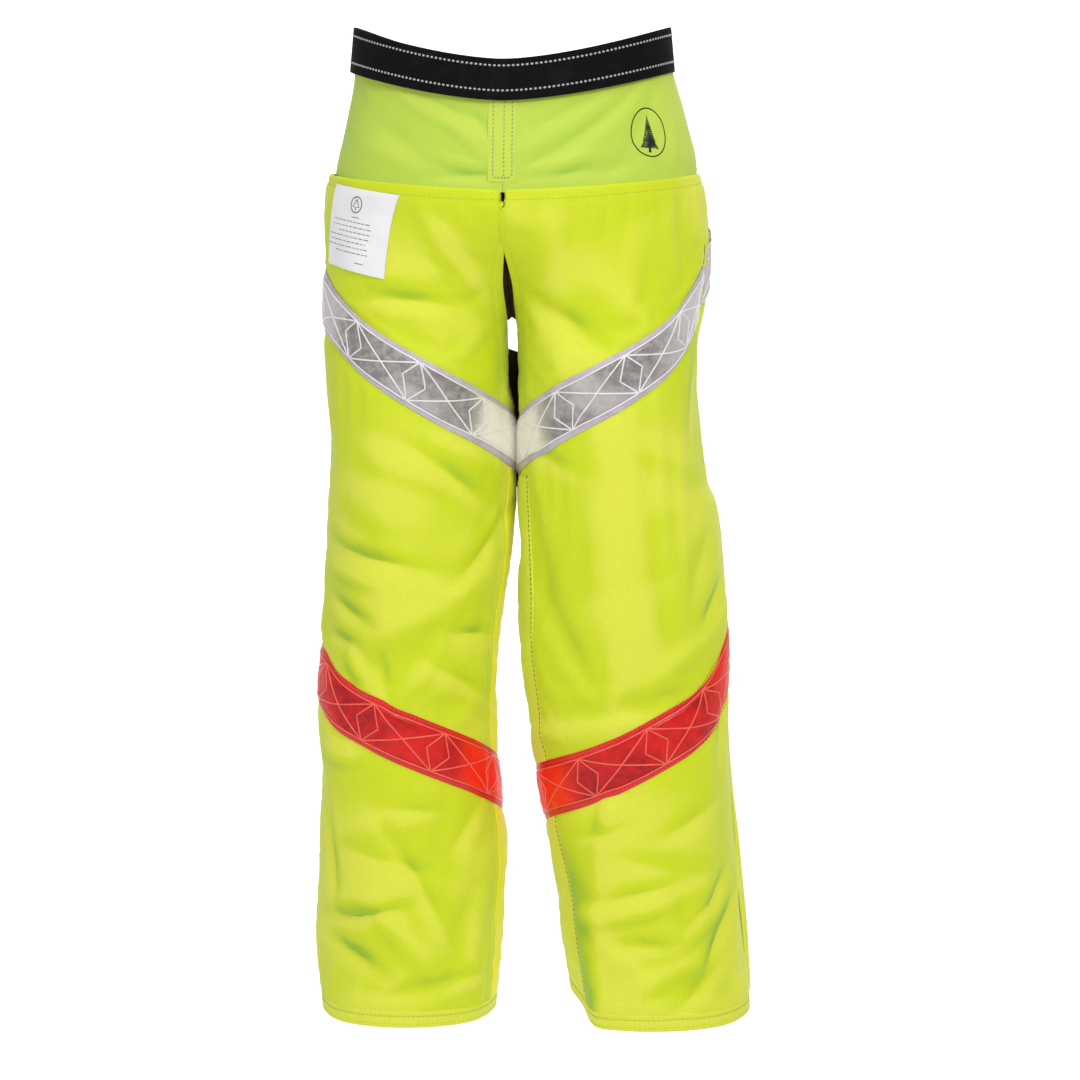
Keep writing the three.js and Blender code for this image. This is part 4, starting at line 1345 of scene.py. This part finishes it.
def tapeLines(run, name, looks, start, above):
    half, period, diamond = (tapePattern[key] for key in ("half", "period", "diamond"))
    lines = []
    for k in range(-1, int(run.run[-1] / period) + 2):
        centre = start + k * period
        lines += run.line([(centre, half), (centre + diamond, 1), (centre, -half)], above)
        lines += run.line([(centre, half), (centre - diamond, -1), (centre, -half)], above)
        lines += run.line([(centre, half), (centre + period, -half)], above)
        lines += run.line([(centre, -half), (centre + period, half)], above)
    for edge in (-half, half):
        lines += run.line([(tapeLay["filmStart"], edge), (run.end, edge)], above)
    return cords(name, lines, looks["rib"], width=tapePattern["line"])


def makeTape(side, part):
    tape, looks = tapes[part], tapeLooks[part]
    run = TapeRun(side, tape)
    skin = layers["tapeLift"] + layers["tapeThickness"]
    base = tapeMargin(run, f"{part}TapeMargin_{side}", looks)
    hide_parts(f"{part}_tape_{side}")
    film = tapeFilm(run, f"{part}TapeFilm_{side}", looks, skin)
    start = patternStarts[part][side]
    lines = tapeLines(run, f"{part}TapeLines_{side}", looks, start, skin + tapeLay["film"])
    going = [film, lines]
    for k, edge in enumerate((-tapeLay["stitchRow"], tapeLay["stitchRow"])):
        along = np.linspace(2, run.end, 160)
        path, normal = run.place(along, np.full(along.shape, edge), skin)
        going.append(stitches(f"{part}TapeStitch{k}_{side}", path, normal, looks["thread"],
                              width=0.7, height=0.3, length=2.6))
    follow = followHip if part == "thigh" else followKnee
    for piece in (base, *going):
        follow(piece, side)


for side in sides:
    for part in tapes:
        makeTape(side, part)
print("tapes ready")


# yoke and placket
yokeSettings = {
    "thickness": 1.4,
    "outer": 5.2,
    "flat": (0.26, 0.118),
    "bottom": -102.5,
    "foldWidth": 255,
    "relief": 0.6,
    "sides": {  # height, how far the side stands out
        "left": [(19, 0), (-30, 4), (-80, 4), (-99, 2)],
        "right": [(19, 2), (-10, 3), (-30, -1), (-60, -5), (-99, -5)],
    },
    "wrinkles": {  # across, height, tilt, half length, half width, depth
        "left": [
            (0.27, -56, 25, 56, 5.5, -2.6), (0.26, -44, 23, 56, 6, 2.0), (0.20, -88, 3, 46, 5, -2.4),
            (0.22, -78, 12, 46, 5, 2.0), (0.27, -30, 20, 50, 5.5, -2.2), (0.30, -66, 30, 46, 5, 1.8),
            (0.50, -60, 38, 46, 7, -2.0), (0.48, -44, 34, 40, 6, 1.6), (0.70, -70, 50, 40, 8, 1.4),
            (0.78, -45, 60, 40, 7, -1.6), (0.08, -70, 50, 24, 4.5, 1.6), (0.42, -84, 20, 40, 6, -1.6),
        ],
        "right": [
            (0.27, -26, 16, 60, 5.5, -2.4), (0.28, -38, 18, 56, 6, 2.0), (0.10, -88, -6, 40, 5, -2.6),
            (0.14, -78, 10, 40, 5, 2.0), (0.07, -46, 50, 22, 5, -2.0), (0.12, -58, 40, 30, 5, 1.6),
            (0.40, -60, 22, 56, 8, -1.8), (0.45, -76, 12, 56, 8, 1.4), (0.70, -60, -50, 40, 8, -1.4),
            (0.62, -30, 30, 40, 7, 1.4), (0.85, -50, -70, 40, 7, 1.2),
        ],
    },
}


def yokeShape(side):
    def shape(u, z):
        total = creaseHeight(yokeSettings["wrinkles"][side], u, z, yokeSettings["foldWidth"])
        total = total + ripples(u, z * 2, 60 + sides[side], 0.8)
        total = total * smooth(u / 0.05) * smooth((z + 103) / 12) * smooth((-16 - z) / 14)
        stand = tableAt(yokeSettings["sides"][side], z, 1) * smooth((u - 0.45) / 0.45)
        return total * yokeSettings["relief"] + stand

    return shape


def yokeBase(side):
    def base(u, z, offset):
        p = pelvisPoint(u * 100, z, offset)
        p[..., 0] = sides[side] * (p[..., 0] + 0.02 * (1 - u))
        return p

    return base


yokes = {
    side: Surface(yokeBase(side), 19, yokeSettings["bottom"], 90, 52, yokeShape(side))
    for side in sides
}


def yokeStitches(name, side, u, z, **sizes):
    yoke = yokes[side]
    path = yoke.at(u, z, yokeSettings["outer"])
    row = stitches(name, path, yoke.sample(yoke.normals, u, z), "greyThread", **sizes)
    followHip(row, side)


def makeYoke(side):
    yoke, radius = yokes[side], 1.0
    us = edgeSteps(yoke.width, 3, radius)
    top, bottom = 15, yokeSettings["bottom"]
    zs = top + (bottom - top) * edgeSteps(top - bottom, 2.5, radius)
    u, z = np.meshgrid(us, zs)
    edge = np.minimum(np.minimum(u, 1 - u) * yoke.width, np.minimum(top - z, z - bottom))
    skin = yokeSettings["outer"]
    outer, inner = rounded(skin, skin - yokeSettings["thickness"], roundness(edge, radius))
    # the yoke's painted shading goes with it
    piece = slab(f"yoke_{side}Half", yoke.at(u, z, outer), yoke.at(u, z, inner), "yoke",
                 yoke.sample(yoke.paintedShading, u, z))
    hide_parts("yoke_" + side)
    followHip(piece, side)
    z = np.linspace(-24, -94, 80)
    u = np.full(z.shape, 1 - 6 / yoke.width)
    yokeStitches(f"yokeSideSeam_{side}", side, u, z, width=0.7, height=0.3)
    # a short bar of close stitches where the yoke meets the side of the panel
    u = np.linspace(0.93, 0.985, 30)
    z = np.full(u.shape, -95.0)
    yokeStitches(f"yokeBar_{side}", side, u, z, length=1.6, gap=0.3, width=1.6, height=0.5)


placketSettings = {
    "left": -14, "right": 12, "top": -17, "bottom": -93,
    "offset": 4.7, "thickness": 1.0, "edge": 0.8, "rows": (-9.0, 1.0, 8.5), "rowInset": 2,
}


def placketPoint(x, z, offset):
    angle = np.degrees(np.arcsin(x / (tableAt(pelvis, z, 1) + offset)))
    return pelvisPoint(angle, z, offset)


def placketWave(x, z):
    return 0.35 * np.sin(z / 6.0 + x / 9.0) * np.cos(x / 5.0)


def placketStitches(name, x, z, offset, length, gap):
    normals = np.tile([0, -1.0, 0], (len(x), 1))
    row = stitches(name, placketPoint(x, z, offset), normals, "greyThread",
                   length=length, gap=gap, width=1.1, height=0.5)
    rideOn(row, "waist")


def makePlacket(s):
    radius, skin = s["edge"], s["offset"] + s["thickness"]
    xs = s["left"] + (s["right"] - s["left"]) * edgeSteps(s["right"] - s["left"], 2, radius)
    zs = s["top"] + (s["bottom"] - s["top"]) * edgeSteps(s["top"] - s["bottom"], 3, radius)
    x, z = np.meshgrid(xs, zs)
    edge = np.minimum(np.minimum(x - s["left"], s["right"] - x), np.minimum(s["top"] - z, z - s["bottom"]))
    wave = placketWave(x, z)
    outer, inner = rounded(skin, s["offset"], roundness(edge, radius))
    piece = slab("placket", placketPoint(x, z, outer + wave), placketPoint(x, z, inner + wave), "yoke")
    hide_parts("front_placket")
    rideOn(piece, "waist")
    for k, x0 in enumerate(s["rows"]):
        z = np.linspace(s["top"] - s["rowInset"], s["bottom"] + s["rowInset"], 60)
        x = np.full(z.shape, x0)
        placketStitches(f"placketStitch{k}", x, z, skin + placketWave(x, z), 2.4, 1.5)
    x = np.linspace(s["rows"][0], s["rows"][2], 20)
    z = np.full(x.shape, s["bottom"] + 4.0)
    placketStitches("placketStitchEnd", x, z, s["offset"] + 1.1, 2.0, 1.2)


for side in sides:
    makeYoke(side)
makePlacket(placketSettings)
print("yoke ready")


# belt, straps and buckles
beltSettings = {
    "width": 38, "thickness": 2.4, "offset": 9.6, "backStand": 3, "mouth": 10, "release": 0.034,
    "join": 112, "frontEnd": -110, "turns": (120, 130, 139, 147, 154),  # angles from the front
}
buckleParts = {"clearance": 1.5, "wall": 1.8, "slot": 4.6, "bar": 3, "barTall": 2.6, "shoulder": 6}
buckleSizes = {
    "belt": {"prong": 30},
    "strap": {"prong": 22},
}
for sizes in buckleSizes.values():
    p = buckleParts
    sizes["socket"] = sizes["prong"] + p["clearance"] + p["wall"] + p["slot"] + p["bar"]
    sizes["plug"] = p["shoulder"] + p["slot"] + p["bar"]
    sizes["turn"] = math.hypot(p["bar"], p["barTall"]) / 2 + 0.68


def turnRoundBar(x, y, radius, toward, count=14):
    a = np.linspace(-math.pi / 2, math.pi / 2, count)
    return [(x + toward * radius * math.cos(t), y + radius * math.sin(t)) for t in a]


def spline(stations, spacing):  # the same run of stations with smooth ones between them
    stations = np.asarray(stations, float)
    out = []
    for i in range(len(stations) - 1):
        p0 = stations[max(i - 1, 0)]
        p1, p2 = stations[i], stations[i + 1]
        p3 = stations[min(i + 2, len(stations) - 1)]
        gap = np.linalg.norm((p2 - p1)[:3])
        d0, d2 = np.linalg.norm((p1 - p0)[:3]), np.linalg.norm((p3 - p2)[:3])
        m1 = (p2 - p0) / max(d0 + gap, 1e-6) * gap
        m2 = (p3 - p1) / max(d2 + gap, 1e-6) * gap
        count = max(int(gap / spacing), 1)
        for k in range(count):
            t = k / count
            out.append(hermite(t, p1, m1, p2, m2))
    out.append(stations[-1])
    return np.array(out)


def ribbon(name, stations, thickness, finish, radius=0.8, spacing=3.0):
    # stations hold the low and the high edge of the webbing's middle layer
    run = spline(stations, spacing)
    low, high = run[:, :3], run[:, 3:]
    ahead = np.gradient((low + high) / 2, axis=0)
    ahead[:, 2] = 0
    ahead /= np.maximum(np.linalg.norm(ahead, axis=1, keepdims=True), 1e-9)
    out = np.stack([ahead[:, 1], -ahead[:, 0], 0 * ahead[:, 0]], axis=1)
    width = np.linalg.norm(high[0] - low[0])
    across = edgeSteps(width, 3, radius)
    factor = roundness(np.minimum(across, 1 - across) * width, radius)
    centre = low[:, None] * (1 - across[None, :, None]) + high[:, None] * across[None, :, None]
    half = out[:, None] * (thickness / 2 * factor)[None, :, None]
    return slab(name, centre + half, centre - half, finish), run, out


def beltStations(angles, free):
    middle = tableAt(pelvis, np.array(0.0), 2) + beltSettings["offset"] + beltSettings["backStand"]
    level = float(lift(180, 0))
    tall = beltSettings["width"] // 2
    stations = []
    for angle in angles:
        away = float(smooth((abs(angle) - 135) / 17))
        edges = []
        for z in (-tall, tall):
            p = pelvisPoint(angle, z, beltSettings["offset"])
            flat = pelvisPoint(angle, 0, beltSettings["offset"])
            straight = np.array([flat[0], middle, z + level])
            edges += list(p * (1 - away) + straight * away)
        stations.append(edges)
    for x, y in free:
        stations.append([x, y, level - tall, x, y, level + tall])
    return stations, float(middle)


def makeBelt():
    s, b = beltSettings, buckleSizes["belt"]
    turn = b["turn"] + s["thickness"] / 2
    _, back = beltStations([], [])
    y = back + turn
    doubled = s["thickness"] + 0.4
    socketBar = s["mouth"] - b["socket"] + buckleParts["bar"] / 2
    fixed = [(socketBar - 22, back), *turnRoundBar(socketBar, y, turn, 1),
             (socketBar - 8, back + doubled + 1), (socketBar - 14, back + doubled),
             (socketBar - 40, back + doubled)]
    front = np.linspace(s["join"], s["frontEnd"], 40)
    stations, _ = beltStations([*front, *[-angle for angle in s["turns"]]], fixed)
    piece, run, out = ribbon("beltWebbing", stations, s["thickness"], "webbing")
    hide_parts("belt_webbing")
    rideOn(piece, "waist")
    low, high = run[:, :3], run[:, 3:]
    seen = np.abs(np.degrees(np.arctan2(low[:, 0], -low[:, 1]))) < 128
    for k, share in enumerate((0.235, 0.83)):
        path = (low * (1 - share) + high * share)[seen]
        normal = out[seen] * np.sign((out[seen] * path).sum(axis=1, keepdims=True))
        row = stitches(f"beltStitch{k}", path + normal * s["thickness"] / 2, normal, "beltThread",
                       length=2.7, gap=1.6, width=2.1, height=0.6)
        rideOn(row, "waist")
    plugBar = s["mouth"] + b["plug"] - buckleParts["bar"] / 2
    loose = [(plugBar + 12, back), *turnRoundBar(plugBar, y, turn, -1),
             (plugBar + 8, back + doubled + 1), (plugBar + 14, back + doubled),
             (plugBar + 34, back + doubled)]
    stations, _ = beltStations([s["join"] + 0.2, *s["turns"]], loose)
    piece, _, _ = ribbon("beltLooseEnd", stations, s["thickness"], "webbing")
    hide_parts("belt_loose_end")
    fixNormals(piece)
    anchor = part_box("belt_loose_end")[1][0]
    bar = plugBar * mm
    keep = 1 - s["release"] / (anchor - bar)
    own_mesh(piece)
    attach(piece, "waist")


strapLevels = {"thigh": -316, "calf": -610, "ankle": -800}
strapSettings = {
    "width": 25, "thickness": 1.6, "edge": 0.6, "spacing": 2.5, "stand": 7, "mouth": 6, "doubled": 2.0,
}


def sewnTo(surface, u, z, offset):  # a station of webbing lying on a sheet
    half = strapSettings["width"] / 2
    low = surface.at(np.array(u), np.array(z - half), offset)
    high = surface.at(np.array(u), np.array(z + half), offset)
    return [*low, *high]


def hung(z, x, y):  # a station of webbing that hangs free
    half = strapSettings["width"] / 2
    return [x, y, z - half, x, y, z + half]


def strapWebbing(name, node, stations):
    w = strapSettings
    piece, _, _ = ribbon(name, stations, w["thickness"], "webbing", w["edge"], w["spacing"])
    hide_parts(node)
    return piece


def makeStrap(side, place):
    b, s, z = buckleSizes["strap"], sides[side], strapLevels[place]
    w = strapSettings
    owner = ("thigh_" if place == "thigh" else "shin_") + side
    level = np.array(float(z))
    middle = float(tableAt(legRows[side], level, 1))
    back = float(tableAt(depthRows, level, 1) + tableAt(depthRows, level, 2)) + w["stand"]
    turn = b["turn"] + w["thickness"] / 2
    y = back + turn
    mouth = middle - s * w["mouth"]
    doubled = w["doubled"]

    bar = mouth - s * (b["socket"] - buckleParts["bar"] / 2)
    path = [sewnTo(legs[side], u, z, -1.7) for u in (0.17, 0.08, 0.0)]
    path += [hung(z, *(ovalPoint(side, angle, level, off)[:2])) for angle, off in ((-22, -1.6), (-34, 2))]
    path += [hung(z, bar - s * 13, back - 6), hung(z, bar - s * 6, back - 1)]
    path += [hung(z, *p) for p in turnRoundBar(bar, y, turn, s)]
    path += [hung(z, bar - s * 9, back + doubled - 2), hung(z, bar - s * 14, back + doubled - 7)]
    name = f"{place}_strap_{side}"
    piece = strapWebbing(f"{place}StrapSocketWebbing_{side}", name + "_socket_webbing", path)
    rideOn(piece, owner)

    bar = mouth + s * (b["plug"] - buckleParts["bar"] / 2)
    path = [sewnTo(wraps[side], u, z, 10.2) for u in (0.38, 0.5, 0.75, 1.0, 1.1)]
    path += [hung(z, bar + s * 16, back - 1), hung(z, bar + s * 8, back)]
    path += [hung(z, *p) for p in turnRoundBar(bar, y, turn, -s)]
    path += [hung(z, bar + s * 6, back + doubled + 1), hung(z, bar + s * 11, back + doubled),
             hung(z, bar + s * 24, back + doubled - 1.5), hung(z, bar + s * 34, back + doubled - 1)]
    piece = strapWebbing(f"{place}StrapPlugWebbing_{side}", name + "_plug_webbing", path)
    fixNormals(piece)
    (bar + s * 3.5) * mm
    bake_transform(piece)


makeBelt()
for side in sides:
    for place in strapLevels:
        makeStrap(side, place)
for name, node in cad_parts.items():
    if name.endswith("_plug") or name.endswith("_socket"):
        node.data.materials.clear()
        node.data.materials.append(finishes["plastic"])
print("belt, straps and buckles ready")


# care label and printed badge
labelSettings = {  # corners: across and height on the right leg
    "innerTop": (0.335, -109), "innerBottom": (0.482, -186),
    "outerTop": (0.67, -106), "outerBottom": (0.765, -177),
    "above": 0.5, "thickness": 0.5,
}


def labelPoint(v, down, above):
    s, leg = labelSettings, legs["right"]
    corners = [np.array(s[name]) for name in ("innerTop", "outerTop", "innerBottom", "outerBottom")]
    high = [corners[0][k] * (1 - v) + corners[1][k] * v for k in (0, 1)]
    low = [corners[2][k] * (1 - v) + corners[3][k] * v for k in (0, 1)]
    u, z = (high[k] * (1 - down) + low[k] * down for k in (0, 1))
    return leg.at(u, z, layers["shellOuter"] + above, puffed=True), leg.sample(leg.normals, u, z)


def labelCurl(v, down):  # the outer edge lifts a little
    return 1.2 * smooth((v - 0.8) / 0.2) * down + 0.5 * np.sin(v * 5) * down


def makeLabel(s):
    vs, ds = edgeSteps(92, 3, 0.5), edgeSteps(78, 3, 0.5)
    v, d = np.meshgrid(vs, ds)
    curl = labelCurl(v, d)
    top, _ = labelPoint(v, d, s["above"] + s["thickness"] + curl)
    low, _ = labelPoint(v, d, s["above"] + curl)
    piece = slab("careLabel", top, low, "label")
    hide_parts("care_label")
    followHip(piece, "right")

    draw = random.Random(11)
    above = s["above"] + s["thickness"]

    def lineAt(points):
        pts = np.array(points)
        curl = labelCurl(pts[:, 0], pts[:, 1])
        return labelPoint(pts[:, 0], pts[:, 1], above + curl + 0.06)

    lines = []
    for row in range(7):
        d = 0.42 + row * 0.062
        v, end = draw.uniform(0.24, 0.3), draw.uniform(0.72, 0.95)
        while v < end:
            word = draw.uniform(0.02, 0.07)
            lines.append(lineAt([(v, d), (v + word * 0.5, d), (v + word, d)]))
            v += word + 0.018
    for d, v0, v1 in ((0.36, 0.44, 0.56), (0.9, 0.3, 0.42)):
        lines.append(lineAt([(v0, d), ((v0 + v1) / 2, d), (v1, d)]))
    text = cords("labelLines", lines, "labelInk", width=0.9, height=0.02, sink=0.06)
    followHip(text, "right")
    ring = [(0.52 + 0.085 * math.cos(a), 0.2 + 0.1 * math.sin(a)) for a in np.linspace(0, math.tau, 33)]
    tree = [[(0.52, 0.13), (0.47, 0.23), (0.57, 0.23), (0.52, 0.13)], [(0.52, 0.23), (0.52, 0.27)]]
    marks = cords("labelMark", [lineAt(ring), *[lineAt(t) for t in tree]], "labelInk",
                  width=1.3, height=0.02, sink=0.06)
    followHip(marks, "right")


badgeSettings = {"u": 0.55, "z": -62, "radius": 19, "lean": 0.2}


def makeBadge(s):
    # a pine tree in a ring, printed on the yoke
    yoke = yokes["left"]

    def spot(points):
        p = np.array(points, float)
        u = s["u"] + (p[:, 0] + s["lean"] * p[:, 1]) / yoke.width
        z = s["z"] + p[:, 1] - s["lean"] * p[:, 0]
        return yoke.at(u, z, yokeSettings["outer"] + 0.07), yoke.sample(yoke.normals, u, z)

    turn = np.linspace(0, math.tau, 49)
    lines = [spot([(s["radius"] * math.cos(a), s["radius"] * math.sin(a)) for a in turn])]
    tiers = ((-2, 13, 4.2), (-7, 7, 6.5), (-12, 0, 9.0))
    for bottom, top, half in tiers:
        for k in range(12):
            t = k / 11
            y = top + (bottom - top) * t
            wide = half * t
            lines.append(spot([(-wide - 0.2, y), (0, y), (wide + 0.2, y)]))
    for x in (-0.7, 0.0, 0.7):
        lines.append(spot([(x, -12), (x, -14), (x, -16)]))
    piece = cords("badgePrint", lines, "printInk", width=1.3, height=0.02, sink=0.05)
    followHip(piece, "left")


makeLabel(labelSettings)
makeBadge(badgeSettings)
print("label and badge ready")


# floor
floorSettings = {"half": 6.0, "front": -7.0, "back": 5.4, "high": 5.0, "radius": 1.8, "steps": 12}  # metres


def makeFloor(settings):
    half, front, back, high, radius, steps = floorSettings.values()
    profile = [(front, 0.0), (back - radius, 0.0)]
    for k in range(1, steps + 1):
        a = math.pi / 2 * k / steps
        profile.append((back - radius + radius * math.sin(a), radius - radius * math.cos(a)))
    profile.append((back, high))
    points = [(x / mm, y / mm, (z + settings["floorLevel"]) / mm) for y, z in profile for x in (-half, half)]
    faces = [(2 * k, 2 * k + 1, 2 * k + 3, 2 * k + 2) for k in range(len(profile) - 1)]
    finishes["floor"] = floorMaterial(settings)
    floor = newPiece("floor", points, faces, "floor")


makeFloor(stageSettings)

print("scene ready")
